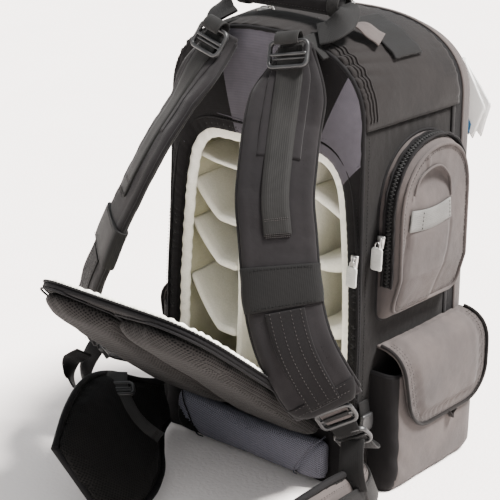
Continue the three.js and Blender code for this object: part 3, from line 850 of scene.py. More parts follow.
def polar(loop, centre, angles):
    """Distance to a loop from a centre inside it, at each angle."""
    dx, dz = loop[:, 0] - centre[0], loop[:, 1] - centre[1]
    at = np.unwrap(np.arctan2(dz, dx))
    order = np.argsort(at)
    at, r = at[order], np.hypot(dx, dz)[order]
    at = np.concatenate([at - 2 * math.pi, at, at + 2 * math.pi])
    return np.interp(angles, at, np.tile(r, 3))


def pucker(distance, run, period, depth, reach=9.0):
    """Gathers of cloth along a seam: run is the place along it, distance the way from it."""
    wobble = 1.6 * noise.noise(Vector((run / 26, 0.37, 0.0)))
    return depth * math.exp(-abs(distance) / reach) * math.sin(2 * math.pi * run / period + 3 * wobble)


# ---- Shell: back panel, sides, crown, base, bulkhead ----

OPENING_CENTRE = np.array([0.0, 205.0])
YOKE_TURN = math.radians(40)  # the yoke's edges, seen from the opening's centre


YOKE_BLUE_UNSHADED = ((-13.5, 12.5), (24, 40))  # degrees from upright where the yoke is blue-grey; the black sectors beside the straps, between and left of these spans, are painted shadow


def in_unshaded_yoke(x, y, z):
    turn = math.degrees(math.atan2(x, z - OPENING_CENTRE[1]))
    return any(low < turn < high for low, high in YOKE_BLUE_UNSHADED)


def make_back_panel():
    """The harness side round the opening: the blue-grey yoke above it, with painted shadow as black sectors
    beside the straps, and narrow black margins beside the opening.
    """
    angles = np.linspace(-math.pi / 2, 1.5 * math.pi, 420, endpoint=False)
    inner = polar(opening_loop(), OPENING_CENTRE, angles)
    body = np.vstack([arch_loop(count=400), [(x, 0.0) for x in np.linspace(-120, 120, 60)]])
    outer = polar(body, OPENING_CENTRE, angles)
    turned_in = [(0.0, 5.6), (0.0, 3.5)]
    across = [(t, None) for t in np.linspace(0, 1, 30)]
    rows = []
    for t, depth in turned_in + across:
        row = []
        for i, a in enumerate(angles):
            gap = outer[i] - inner[i]
            r = inner[i] + gap * t
            x, z = OPENING_CENTRE[0] + r * math.cos(a), OPENING_CENTRE[1] + r * math.sin(a)
            if depth is None:
                crown = min(3.6, 0.09 * gap) * math.sin(math.pi * t) ** 0.7
                run = i * 2.6
                gathers = pucker((1 - t) * gap, run, 13, 0.55) + pucker(t * gap, run, 9, 0.3)
                sag = 0.7 * lump(x, 0, z, 46, 3.1) * math.sin(math.pi * t)
                depth_here = -(crown + gathers + sag)
            else:
                depth_here = depth
            row.append((x, BACK_Y + depth_here, z))
        rows.append(row)
    panel = surface("back_panel", rows, NYLON_DARK, closed=True)
    # Black outside the yoke's blue spans: black cloth at the margins, painted shadow in the sectors beside the
    # straps
    paint(panel, NYLON_BLUE, in_unshaded_yoke)
    thicken(panel, 2.0)
    return place(panel, "bag", ["back_frame"])


def yoke_line(points):
    return np.array([(x, BACK_Y - 3.6 - 0.6 * lump(x, 0, z, 46, 3.1), z) for x, z in points])


def make_yoke_seams():
    """Sewn lines on the yoke: one across under the handle, a short upright, and two beside the straps."""
    across = yoke_line(resample([(-70, 418), (-20, 414), (30, 414), (74, 419)], 50))
    upright = yoke_line(resample([(-8, 414), (-9, 384)], 16))
    low = yoke_line(resample([(-92, 362), (0, 357), (92, 362)], 60))
    corners = []
    for side in (-1, 1):
        radii = np.linspace(153, 175, 24)
        line = [(side * r * math.sin(YOKE_TURN), OPENING_CENTRE[1] + r * math.cos(YOKE_TURN)) for r in radii]
        corners.append(yoke_line(line))
    for name, line in (("across", across), ("upright", upright), ("low", low),
                       ("left", corners[0]), ("right", corners[1])):
        place(tube(f"yoke_seam_{name}", line, 0.75, NYLON_BLUE), "bag")
    offset = [line + np.array([0, -0.7, -2.6]) for line in (across, low)]
    place(stitches("yoke_stitches", offset, THREAD), "bag")


def side_puff(y, z):
    ty = clamp((y - BACK_Y) / (BULKHEAD_Y - BACK_Y))
    tz = clamp(z / SEAM_Z)
    crown = 2.2 * math.sin(math.pi * ty) ** 0.6 * math.sin(math.pi * tz) ** 0.5
    near = 0.9 * lump(10, y, z, 38, 1.7) * math.sin(math.pi * ty) * math.sin(math.pi * tz)
    rear = pucker(y - BACK_Y, z, 17, 0.8, 12)
    top = pucker(SEAM_Z - z, y, 12, 0.7, 10)
    return crown + near + (rear + top) * math.sin(math.pi * ty) ** 0.3


def make_side(suffix, side):
    rows = []
    for z in np.linspace(0.5, SEAM_Z - 0.5, 76):
        across = np.linspace(BACK_Y, BULKHEAD_Y, 40)
        rows.append([(side * (side_x(y, z) + side_puff(y, z)), y, z) for y in across])
    # The side panel's near-black colour is partly painted shade
    panel = surface(f"side_{suffix}", rows, NYLON_SIDE_DARK_AND_SHADE, flip=side < 0)
    thicken(panel, 3.0)
    return place(panel, "bag", [f"side_panel_{suffix}"])


def crown_surface(angle, y, extra=0.0):
    """A point of the crown's skin, with the folds gathered at its rear corners and seams."""
    degrees = math.degrees(angle)
    run = degrees * 2.2
    ty = clamp((y - BACK_Y) / (BULKHEAD_Y - BACK_Y))
    puffed = 1.5 * math.sin(math.pi * ty) ** 0.5
    corner = sum(math.exp(-((degrees % 180 - middle) / 16) ** 2) for middle in (42, 138))
    folds = 1.7 * corner * math.exp(-(y - BACK_Y) / 38) * math.sin((run + 0.35 * (y - BACK_Y)) / 3.1)
    gathers = pucker(y - BACK_Y, run, 12, 0.7) + pucker(y - BULKHEAD_Y, run, 14, 0.5)
    soft = 0.9 * lump(run, y, 5, 30, 2.2) * math.sin(math.pi * ty)
    ends = clamp(min(angle, math.pi - angle) / 0.05)
    x, z = crown_point(angle, (puffed + folds + gathers + soft) * ends + extra)
    return flare(x, y, z)


def make_crown():
    angles = np.radians(np.linspace(0, 180, 181))
    rows = [[crown_surface(a, y) for a in angles] for y in np.linspace(BACK_Y, BULKHEAD_Y, 44)]
    crown = surface("crown_skin", rows, NYLON_CROWN)
    thicken(crown, 3.0)
    return place(crown, "bag", ["crown_panel"])


def shell_edge(y, grow, bottom=2.0, count=400):
    """A line round the body at depth y: up one side, over the crown and down the other."""
    return np.array([flare(x, y, z) for x, z in arch_loop(grow, bottom, count)])


def make_shell_seams():
    rear = shell_edge(BACK_Y - 0.8, 0.2)
    place(tube("rear_piping", rear, 2.4, BINDING, sides=10), "bag")
    inner = np.array([(x * 0.955, BACK_Y - 1.4, z - 4.5 if z > SEAM_Z else z) for x, y, z in rear])
    outer = shell_edge(BACK_Y + 7, 1.4)
    place(stitches("rear_stitches", [inner, outer], THREAD), "bag")
    seams, rows = [], []
    for _, side in SIDES:
        line = [(side * (side_x(y, SEAM_Z) + 0.4), y, SEAM_Z) for y in np.linspace(BACK_Y, BULKHEAD_Y, 60)]
        seams.append(np.array(line))
        rows.append(np.array(line) + np.array([side * 0.9, 0, -3.0]))
    for (suffix, _), seam in zip(SIDES, seams):
        place(tube(f"crown_seam_{suffix}", seam, 1.3, BINDING), "bag")
    place(stitches("crown_seam_stitches", rows, THREAD), "bag")


def make_corner_tape():
    """The three ridges sewn round the crown beside its rear seam."""
    for suffix, side in SIDES:
        for i, ahead in enumerate((6.0, 10.5, 15.0)):
            line = []
            for angle in np.radians(np.linspace(3, 66 - 6 * i, 60)):
                line.append(crown_surface(angle, BACK_Y + ahead, 3.3) * np.array([side, 1, 1]))
            ridge = tube(f"corner_fold_{suffix}_{i + 1}", catmull(line, 160), 1.0, NYLON_CROWN)
            place(ridge, "bag")


def make_base():
    low, high = box_mm("base_panel")
    rows = []
    for y in np.linspace(low[1] - 5, high[1], 34):
        row = []
        for x in np.linspace(-1, 1, 60):
            half = side_x(y, 0) - 1.0
            quilt = 0.25 * (math.cos(math.pi * x * 6) * math.cos(math.pi * (y - low[1]) / 26) - 1)
            row.append((x * half, y, 0.6 - quilt))
        rows.append(row)
    base = thicken(surface("base_skin", rows, NYLON_DARK, flip=True), 4.5)
    place(base, "bag", ["base_panel"])
    for suffix, side in SIDES:
        line = np.array([(side * (side_x(y, 4) + 0.5), y, 3.0) for y in np.linspace(BACK_Y, BULKHEAD_Y, 50)])
        place(tube(f"base_piping_{suffix}", line, 2.2, BINDING), "bag")
    rear = np.array([(x, BACK_Y - 0.5, 3.0) for x in np.linspace(-BASE_HALF + 2, BASE_HALF - 2, 60)])
    place(tube("base_piping_rear", rear, 2.2, BINDING), "bag")


def make_bulkhead():
    """The padded wall between the liner and the front compartment, quilted, seen when the cover is down."""
    y = BULKHEAD_END
    loop = np.vstack([arch_loop(-0.6, 1.0, 200), [(x, 1.0) for x in np.linspace(-118, 118, 40)]])
    rows = []
    for share in np.linspace(1, 0.02, 30):
        row = []
        for x, z in OPENING_CENTRE + (loop - OPENING_CENTRE) * share:
            quilt = 0.9 * abs(math.sin(math.pi * (x + z) / 58) * math.sin(math.pi * (x - z) / 58)) ** 0.4
            row.append(flare(x, y - 1.4 + quilt * smooth(1 - share, 0.02, 0.12), z))
        rows.append(row)
    skin = surface("bulkhead_skin", rows, NYLON_DARK, closed=True)
    thicken(outward(skin), 3.4)
    return place(skin, "bag", ["bulkhead_panel"])


FRONT_RIM_ROW = 14  # the last row of the front compartment's wall, where its face begins


def front_shell():
    """The front compartment's skin as one dome, before it is split into base and cover."""
    loop = np.vstack([arch_loop(0, 0, 240), [(x, 0.0) for x in np.linspace(-118, 118, 50)]])
    rows = []
    for y in np.concatenate([np.linspace(BULKHEAD_END + 0.6, 108, 12), [111, 113.2, 114.8]]):
        row = []
        for i, (x, z) in enumerate(loop):
            grow = 1 + 0.008 * math.sin(math.pi * clamp((y - 70) / 45))
            edge = pucker(y - 70, i * 4, 15, 0.5)
            p = dome_front(x * grow, y, z)
            p[0] += math.copysign(edge, x) if abs(x) > 60 else 0
            row.append(p)
        rows.append(row)
    rim = np.array(rows[-1])
    middle = np.array([0, 0, 190.0])
    for share in np.linspace(0.975, 0.03, 26):
        row = []
        for p in rim:
            x, z = middle[0] + (p[0] - middle[0]) * share, middle[2] + (p[2] - middle[2]) * share
            soft = 1.1 * lump(x, 7, z, 52, 6.0)
            row.append((x, FRONT_Y - 1.0 + 3.4 * (1 - share ** 2) ** 0.6 + soft * (1 - share), z))
        rows.append(row)
    return rows


def make_front():
    rows = front_shell()
    names = (("front_base_skin", "bag", "nylon_dark", "front_pocket_base", -1, NYLON_DARK),
             ("front_cover_skin", "front_cover", "nylon", "front_cover", 1, NYLON))
    for name, body, slot, node, keep, material in names:
        skin = outward(surface(name, rows, material, closed=True, caps=True))
        mesh = bmesh.new()
        mesh.from_mesh(skin.data)
        cut = Vector((0, 0, (FRONT_SPLIT_Z + 0.3 * keep) * MM))
        geometry = mesh.verts[:] + mesh.edges[:] + mesh.faces[:]
        bmesh.ops.bisect_plane(mesh, geom=geometry, plane_co=cut, plane_no=(0, 0, 1),
                               clear_outer=keep < 0, clear_inner=keep > 0)
        open_back = [f for f in mesh.faces if f.calc_center_median().y < (BULKHEAD_END + 0.8) * MM]
        bmesh.ops.delete(mesh, geom=open_back, context="FACES")
        mesh.to_mesh(skin.data)
        mesh.free()
        thicken(skin, 3.0)
        place(skin, body, [node])
    rim = rows[FRONT_RIM_ROW]
    upper = np.array([p + np.array([0, 0.6, 0]) for p in rim if p[2] > FRONT_SPLIT_Z + 3])
    place(tube("front_piping", upper, 1.9, BINDING), "front_cover")
    hem = np.array([(x, FRONT_Y + 0.8, FRONT_SPLIT_Z + 2.0) for x in np.linspace(-86, 86, 50)])
    place(tube("front_hem", hem, 1.5, BINDING), "front_cover")
    lines = [upper[6:-6] * np.array([0.95, 1, 0.99]) + np.array([0, 1.6, 0])]
    place(stitches("front_stitches", lines, THREAD), "front_cover")


def make_front_zip():
    """The long zip between the body and the front compartment, with a storm flap of nylon behind it."""
    y = (BULKHEAD_Y + BULKHEAD_END) / 2
    path = shell_edge(y, 1.0, FRONT_SPLIT_Z + 24, 500)
    outwards = shell_normals(path)
    frames = [(p, np.array([0, 1.0, 0]), n) for p, n in zip(path, outwards)]
    tape = sweep("front_zip_tape", frames, strap_section(15, 1.2), BINDING, lift=0.4)
    place(tape, "bag")
    teeth = [(p + n * 1.5, a, n) for p, a, n in frames]
    place(zip_coil("front_zip_coil", teeth, width=4.6), "bag")
    guard = [(p + np.array([0, -8.5, 0]) + n * 1.0, a, n) for p, a, n in frames]
    place(sweep("front_zip_guard", guard, pillow(7, 3.2, 12), NYLON_DARK), "bag")
    rim = [(p + np.array([0, 8.2, 0]) - n * 0.8, a, n) for p, a, n in frames]
    place(sweep("front_zip_rim", rim, pillow(5, 2.6, 12), NYLON), "bag")
    rows = []
    for dy, lift in ((-5.6, 1.5), (5.6, 1.2)):
        rows.append(np.array([p + np.array([0, dy, 0]) + n * lift for p, a, n in frames]))
    place(stitches("front_zip_stitches", rows, THREAD_PALE), "bag")


def shell_normals(path):
    tangents = np.gradient(path, axis=0)
    return [unit(np.cross([0, 1.0, 0], unit(t))) * -1 for t in tangents]


# ---- Rear opening: zip, padded edging, liner and dividers ----

def make_rear_zip():
    z0 = HINGE_Z + 22
    arch = opening_arch(4.4, z0, 420)
    path = np.array([(x, BACK_Y - 1.4, z) for x, z in arch])
    tangents = np.gradient(path, axis=0)
    across = [unit(np.cross(unit(t), [0, -1.0, 0])) for t in tangents]
    frames = [(p, a, np.array([0, -1.0, 0])) for p, a in zip(path, across)]
    place(sweep("rear_zip_tape", frames, strap_section(8.4, 1.2), BINDING), "bag", ["back_zip"])
    coil = [(p + n * 0.95 + a * 1.2, a, n) for p, a, n in frames]
    place(zip_coil("rear_zip_coil", coil, width=3.8), "bag")
    border = opening_arch(10.6, z0 - 12, 360)
    line = np.array([(x, BACK_Y - 3.2, z) for x, z in border])
    place(tube("rear_zip_border", line, 1.5, BINDING), "bag")
    rows = [np.array([(x, BACK_Y - 3.9, z) for x, z in opening_arch(13.2, z0 - 10, 300)])]
    place(stitches("rear_zip_stitches", rows, THREAD), "bag")


def make_edging():
    """The gathered cream band between the zip and the liner."""
    loop = opening_loop(-5.4, -4.0, 520)
    path = np.array([(x, BACK_Y + 4.4, z) for x, z in loop])
    tangents = np.roll(path, -1, axis=0) - np.roll(path, 1, axis=0)
    rows = []
    for i, (p, t) in enumerate(zip(path, tangents)):
        across = unit(np.cross(unit(t), [0, -1.0, 0]))
        wave = pucker(0, i * 1.6, 13, 0.7) + 0.9 * lump(p[0], 0, p[2], 21, 4.0)
        width = 13.0 + (2.0 if p[0] < -80 else 0)
        section = []
        for x, y in pillow(width, 5.4 + wave, 18, 2.4):
            line = 0.8 * math.exp(-(x / 1.2) ** 2) * (1 if y > 0 else 0)
            section.append(p + across * (x + 0.5 * wave) + np.array([0, -1.0, 0]) * (y - line + 0.35 * wave))
        rows.append(section)
    rows.append(rows[0])
    edging = outward(welded(surface("opening_edging", rows, CREAM, closed=True)))
    place(edging, "bag")


def liner_half(z, inset):
    return wall_half(z) - 6.7 - inset


def liner_loop(inset):
    bottom, top, radius = LINER_LOW[2] + inset, LINER_HIGH[2] - inset, 24
    low, high = liner_half(bottom, inset), liner_half(top, inset)
    corner = [(low - 14, bottom), (low, bottom), (low, bottom + 14)]
    crown = [(high, top - radius), (high, top), (high - radius, top)]
    steps = np.linspace(0, 1, 10)
    half = [(0, bottom), *bend(corner, steps), *bend(crown, steps), (0, top)]
    return resample(half + [(-x, z) for x, z in half[-2:0:-1]], 200, closed=True)


def make_liner():
    start, end = LINER_LOW[1], LINER_HIGH[1] - LINER_WALL
    loop = liner_loop(LINER_WALL)
    centre = np.array([0, 203])
    rows = []
    for y in np.linspace(start, end - 4, 26):
        t = (y - start) / (end - start)
        row = []
        for x, z in loop:
            inward = unit(centre - np.array([x, z]))
            soft = 1.2 * math.sin(math.pi * t) + 0.7 * lump(x, y, z, 34, 8.0) + 0.35 * lump(x, y, z, 11, 2.0)
            row.append(flare(x + inward[0] * soft, y, z + inward[1] * soft))
        rows.append(row)
    for share in (0.985, 0.95, *np.linspace(0.88, 0.04, 20)):
        row = []
        for x, z in centre + (loop - centre) * share:
            soft = 1.4 * (1 - share ** 4) + 0.9 * lump(x, 3, z, 40, 5.0) * (1 - share ** 6)
            row.append(flare(x, end - soft - (2.0 if share > 0.96 else 0), z))
        rows.append(row)
    # The liner walls' olive colour is partly painted shade inside the cells
    liner = surface("liner_shell", rows, LINER_KHAKI_AND_SHADE, closed=True)
    box_uv(liner)
    modifier(liner, "SOLIDIFY", thickness=3 * MM, offset=1.0 if liner_faces_in(liner) else -1.0)
    return place(liner, "bag", ["liner_tray"])


def liner_faces_in(liner):
    """Whether the faces on the liner's right wall look outwards, away from the bag's middle."""
    def away(polygon):
        x, y, z = polygon.center
        return abs(z - 0.2) + abs(y) + 2 * abs(x - 0.1)

    return min(liner.data.polygons, key=away).normal.x > 0


# Each shelf: side, the place of its bend, heights at the column, the bend and the wall, thin and thick ends.
DIVIDER_HEIGHTS = {
    "left_1": (-1, 66, 124, 127, 176, 9, 12), "left_2": (-1, 66, 198, 201, 238, 9, 12),
    "left_3": (-1, 66, 246, 249, 282, 9, 12), "left_4": (-1, 66, 303, 306, 313, 5, 7),
    "right_1": (1, 60, 152, 158, 181, 12, 26), "right_2": (1, 60, 224, 230, 250, 12, 25),
    "right_3": (1, 60, 302, 296, 274, 11, 14),
}
DIVIDER_FRONT, DIVIDER_BACK = -70.0, 51.0
DIVIDER_MIDDLE = (DIVIDER_FRONT + DIVIDER_BACK) / 2
COLUMN_X = 40


def board_section(depth, thick, x, seed):
    """A padded board cut across: a rounded front, slightly hollow faces where it is stitched."""
    points = []
    for px, py in stadium(depth, thick, 14, 9):
        t = clamp((px + depth / 2) / depth)
        crown = 1 + 0.16 * math.sin(math.pi * t) - 0.30 * math.exp(-((t - 0.075) / 0.018) ** 2)
        soft = 0.5 * lump(x, px, py, 22, seed)
        points.append((px, py * crown + soft * (1 if abs(py) > thick * 0.3 else 0)))
    return points


def make_divider(key):
    side, bend_x, column, knee, wall, thin, thick = DIVIDER_HEIGHTS[key]
    inner = COLUMN_X + 3 + 0.4
    outer = liner_half(wall, LINER_WALL) - 1.2
    depth = DIVIDER_BACK - DIVIDER_FRONT
    rows = []
    for t in np.linspace(0, 1, 34):
        x = mix(inner, outer, t)
        rise = clamp((x - bend_x) / (outer - bend_x))
        top = mix(column, knee, clamp((x - inner) / (bend_x - inner))) + (wall - knee) * (rise ** 1.25)
        end = min(1.0, 0.55 + 6 * t, 0.62 + 5 * (1 - t))
        t_here = mix(thin, thick, rise)
        centre = top - t_here / 2
        section = board_section(depth, t_here * end, x, knee * 0.1)
        sag = 1.3 * math.sin(math.pi * t)
        rows.append([flare(side * x, DIVIDER_MIDDLE + px, centre + py - sag * (1 if px < 0 else 0.4))
                     for px, py in section])
    board = outward(surface(f"divider_{key}_pad", rows, KHAKI, closed=True, caps=True))
    paint(board, CREAM, lambda x, y, z: y < DIVIDER_FRONT + 13)
    place(board, "bag", [f"divider_{key}"])


def make_columns():
    floor, ceiling = box_mm("vertical_divider_right")[0][2], box_mm("vertical_divider_right")[1][2]
    depth = DIVIDER_BACK - DIVIDER_FRONT
    for suffix, side in SIDES:
        rows = []
        for t in np.linspace(0, 1, 60):
            z = mix(floor, ceiling, t)
            end = tapered(t, 0.6, 10)
            lean = 1.2 * math.sin(2.2 * math.pi * t + side) * (1 if t < 1 else 0)
            row = []
            for px, py in board_section(depth, 6.6 * end, z, side * 3.0):
                front = 1 if px < 0 else 0.3
                row.append(flare(side * COLUMN_X + py + lean * front, DIVIDER_MIDDLE + px, z))
            rows.append(row)
        board = outward(surface(f"column_{suffix}_pad", rows, KHAKI, closed=True, caps=True))
        paint(board, CREAM, lambda x, y, z: y < DIVIDER_FRONT + 13)
        place(board, "bag", [f"vertical_divider_{suffix}"])


# ---- Rear flap, drawn closed and swung open about its hinge line ----

FLAP_SKIN = BACK_Y - 2.8


def swing(points):
    """Turns points from the closed place to the open one."""
    points = np.array(points, float)
    y, z = points[..., 1] - BACK_Y, points[..., 2] - HINGE_Z
    c, s = math.cos(FLAP_OPEN), math.sin(FLAP_OPEN)
    out = points.copy()
    out[..., 1] = BACK_Y + y * c - z * s
    out[..., 2] = HINGE_Z + y * s + z * c
    return out


def swing_object(obj):
    co = np.array([v.co for v in obj.data.vertices]) / MM
    obj.data.vertices.foreach_set("co", (swing(co) * MM).ravel())
    obj.data.update()
    return obj


def filled_loop(name, loop, depth_at, material, centre, rings=24):
    """A sheet over a closed (x, z) outline; depth_at(share, x, z) gives Y, share is 1 on the outline."""
    rows = []
    for share in np.linspace(1, 0.015, rings) ** 0.9:
        ring = centre + (loop - centre) * share
        rows.append([(x, depth_at(share, x, z), z) for x, z in ring])
    sheet = surface(name, rows, material, closed=True, caps=True)
    box_uv(sheet)
    return sheet


def make_flap_panel():
    loop = opening_loop(1.2, -4.0, 260)

    def face(share, x, z):
        valley = 1.2 * math.exp(-(x / 9) ** 2)
        return FLAP_SKIN - 3.4 + valley * 0.4 - 0.5 * lump(x, 1, z, 40, 9.0) * (1 - share ** 8)

    panel = filled_loop("flap_mesh_panel", loop, face, MESH_FLAP, OPENING_CENTRE)
    outward(panel)
    thicken(panel, 2.6, offset=0)
    applied(panel)
    swing_object(panel)
    place(panel, "back_flap", ["flap_panel"])


def lobe_loop(side, inset):
    lower = [(7, 95), (88, 89)]
    corner = bend([(88, 89), (107, 91), (108, 125)], np.linspace(0, 1, 12))
    flank = bend([(108, 125), (112, 190), (107, 250), (99, 305)], np.linspace(0, 1, 14))
    crown = bend([(99, 305), (90, 344), (54, 344)], np.linspace(0, 1, 12))
    points = resample([*lower, *corner, *flank, *crown, (7, 330)], 150, closed=True)
    centre = points.mean(axis=0)
    size = np.array([50.0, 125.0])
    points = centre + (points - centre) * (1 - inset / size)
    points[:, 0] *= side
    return points


def make_flap_pads():
    for suffix, side in SIDES:
        loop = lobe_loop(side, -3.0)
        pad = slab(f"flap_cushion_{suffix}", loop, FLAP_SKIN - 16.4, FLAP_SKIN - 4.6, MESH_FLAP, rings=9)
        puff(pad, 5)
        wrinkle(pad, lambda x, y, z: 0.5 * lump(x, y, z, 24, 1.0 + side))
        swing_object(pad)
        box_uv(pad)
        place(pad, "back_flap", [f"flap_pad_{suffix}"])
        seam = np.array([(x, FLAP_SKIN - 5.4, z) for x, z in lobe_loop(side, -5.0)])
        channel = tube(f"flap_channel_{suffix}", swing(seam), 1.1, BINDING, closed=True)
        place(channel, "back_flap")


def make_flap_edge():
    """Bound rim, its half of the zip, and the stitching."""
    z0 = HINGE_Z + 16
    arch = opening_arch(1.8, z0, 420)
    path = swing([(x, FLAP_SKIN - 1.4, z) for x, z in arch])
    place(tube("flap_binding", path, 3.3, BINDING, sides=12), "back_flap")
    arch = opening_arch(2.6, z0 + 6, 420)
    flat = np.array([(x, FLAP_SKIN + 1.5, z) for x, z in arch])
    tangents = np.gradient(flat, axis=0)
    frames = []
    for p, t in zip(flat, tangents):
        across = unit(np.cross(unit(t), [0, 1.0, 0]))
        points = swing([p, p + across, p + np.array([0, 1.0, 0])])
        frames.append((points[0], points[1] - points[0], points[2] - points[0]))
    tape = sweep("flap_zip_tape", frames, strap_section(7.0, 1.0), BINDING)
    place(tape, "back_flap")
    coil = [(p - a * 1.6 + n * 0.7, a, n) for p, a, n in frames]
    place(zip_coil("flap_zip_coil", coil, width=3.4), "back_flap")
    row = swing([(x, FLAP_SKIN - 4.8, z) for x, z in opening_arch(-2.8, z0 + 4, 320)])
    place(stitches("flap_stitches", [row], THREAD_PALE), "back_flap")


def make_flap_lining():
    """The cream inner cushion with its gathered rim."""
    loop = opening_loop(-4.5, -9.0, 320)
    back, crown = FLAP_SKIN + 1.2, BACK_Y + 2.6

    def face(share, x, z):
        edge = smooth(1 - share, 0.0, 0.07)
        run = math.atan2(z - OPENING_CENTRE[1], x) * 130
        gathers = 0.8 * math.sin(run / 1.5 + 2 * lump(x, 0, z, 30)) * math.exp(-(1 - share) / 0.05)
        soft = 0.9 * lump(x, 2, z, 44, 7.5) + 0.4 * lump(x, 2, z, 16, 2.5)
        return mix(back, crown + 1.2 * (1 - share ** 2), edge ** 0.6) + gathers * edge + soft * edge

    top = filled_loop("flap_lining_pad", loop, face, CREAM, OPENING_CENTRE, rings=40)
    outward(top)
    swing_object(top)
    box_uv(top)
    place(top, "back_flap", ["flap_lining"])
    rim = opening_loop(-5.0, -7.0, 460)
    path = np.array([(x, FLAP_SKIN + 3.6, z) for x, z in rim])
    rows = []
    tangents = np.roll(path, -1, axis=0) - np.roll(path, 1, axis=0)
    for i, (p, t) in enumerate(zip(path, tangents)):
        across = unit(np.cross(unit(t), [0, 1.0, 0]))
        wave = pucker(0, i * 1.8, 9.0, 1.2) + 0.7 * lump(p[0], 0, p[2], 14, 4.4)
        rows.append([p + across * (x + 0.4 * wave) + np.array([0, 1.0, 0]) * (y + 0.3 * wave)
                     for x, y in pillow(11.0, 5.4 + wave, 16, 2.4)])
    rows.append(rows[0])
    edging = outward(welded(surface("flap_edging", rows, CREAM, closed=True)))
    swing_object(edging)
    place(edging, "back_flap")


def make_flap_hinge():
    """The strip of cloth that joins the flap to the bag and bends at the hinge line."""
    start = np.array([0, BACK_Y - 1.0, HINGE_Z - 7])
    end = swing([(0, FLAP_SKIN - 0.6, HINGE_Z + 13)])[0]
    rows = []
    for t in np.linspace(0, 1, 16):
        half = 95 - 2 * t
        middle = mix(start, end, t) + np.array([0, -1.4, -1.6]) * math.sin(math.pi * t)
        rows.append([middle + np.array([x * half, 0.35 * lump(x * half, 0, t * 20, 18, 3.3), 0])
                     for x in np.linspace(-1, 1, 80)])
    strip = surface("flap_hinge_cloth", rows, NYLON_DARK)
    thicken(strip, 1.4, offset=0)
    applied(strip)
    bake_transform(strip)
    finished(strip)


# ---- Harness: shoulder straps ----

def strap_across(t):
    return unit(mix(np.array([1.0, 0, 0]), STRAP_ACROSS, clamp(t / 0.16)))


def strap_frames(route, side, start, end, count):
    """Frames down the right strap's route, mirrored for the left one so that outward stays outward."""
    frames = []
    for t in np.linspace(start, end, count):
        tangent = route.tangent(t)
        across = strap_across(t)
        across = unit(across - tangent * np.dot(across, tangent))
        normal = np.cross(tangent, across)
        flip = np.array([side, 1, 1])
        frames.append((route.at(t) * flip, across * flip, normal * flip))
    return frames


def shifted(frames, across, out):
    shift = across if callable(across) else (lambda s: across)
    lift = out if callable(out) else (lambda s: out)
    last = max(1, len(frames) - 1)
    return [(p + a * shift(i / last) + n * lift(i / last), a, n) for i, (p, a, n) in enumerate(frames)]


def ladder_lock(name, frame, width, height, body, node):
    """A moulded tri-glide: a rounded ring with a middle bar and a raised lower bar."""
    origin, across, normal = frame
    down = np.cross(across, normal)
    if np.dot(down, [0, 0, -1]) < 0:
        down = -down

    def at(x, y, lift=0.0):
        return origin + across * x - down * y + normal * lift

    w, h, r = width / 2 - 1.8, height / 2 - 1.8, 5.0
    ring = []
    for cx, cy, a0 in ((w - r, h - r, 0), (-w + r, h - r, 90), (-w + r, -h + r, 180), (w - r, -h + r, 270)):
        ring += [(cx + r * math.cos(math.radians(a0 + a)), cy + r * math.sin(math.radians(a0 + a)))
                 for a in (0, 22, 45, 68, 90)]
    ring = resample(ring, 56, closed=True)
    loop = [at(x, y, 0.9 * (y / h) ** 2) for x, y in ring]
    frames = frames_on(loop, normal, closed=True)
    outer = sweep(name, frames, pillow(4.6, 3.6, 12, 3.2), PLASTIC, closed=True)
    bars = []
    for y, lift, fat in ((0, 0.6, 3.4), (-h * 0.06 - 3.2, -0.4, 2.2)):
        path = [at(x, y, lift) for x in np.linspace(-w + 0.5, w - 0.5, 12)]
        bars.append(sweep("bar", frames_on(path, normal), pillow(fat, fat * 0.9, 10, 3), PLASTIC))
    merge(outer, bars)
    place(outer, body, [node] if node else [])


def merge(target, others):
    """Joins other meshes of the same material into target."""
    mesh = bmesh.new()
    mesh.from_mesh(target.data)
    for other in others:
        mesh.from_mesh(other.data)
        bpy.data.objects.remove(other)
    mesh.to_mesh(target.data)
    mesh.free()
    return target


TACK_GAP = 1.6


def bar_tack(name, frame, width, body, rows=3):
    """Rows of close stitches across a strap."""
    origin, across, normal = frame
    along_strap = np.cross(across, normal)
    lines = []
    for i in range(rows):
        start = origin + along_strap * TACK_GAP * (i - (rows - 1) / 2) + normal * 0.25
        lines.append([start - across * width / 2, start + across * width / 2])
    place(stitches(name, lines, THREAD_PALE, pitch=1.7, length=1.9, radius=0.45), body)


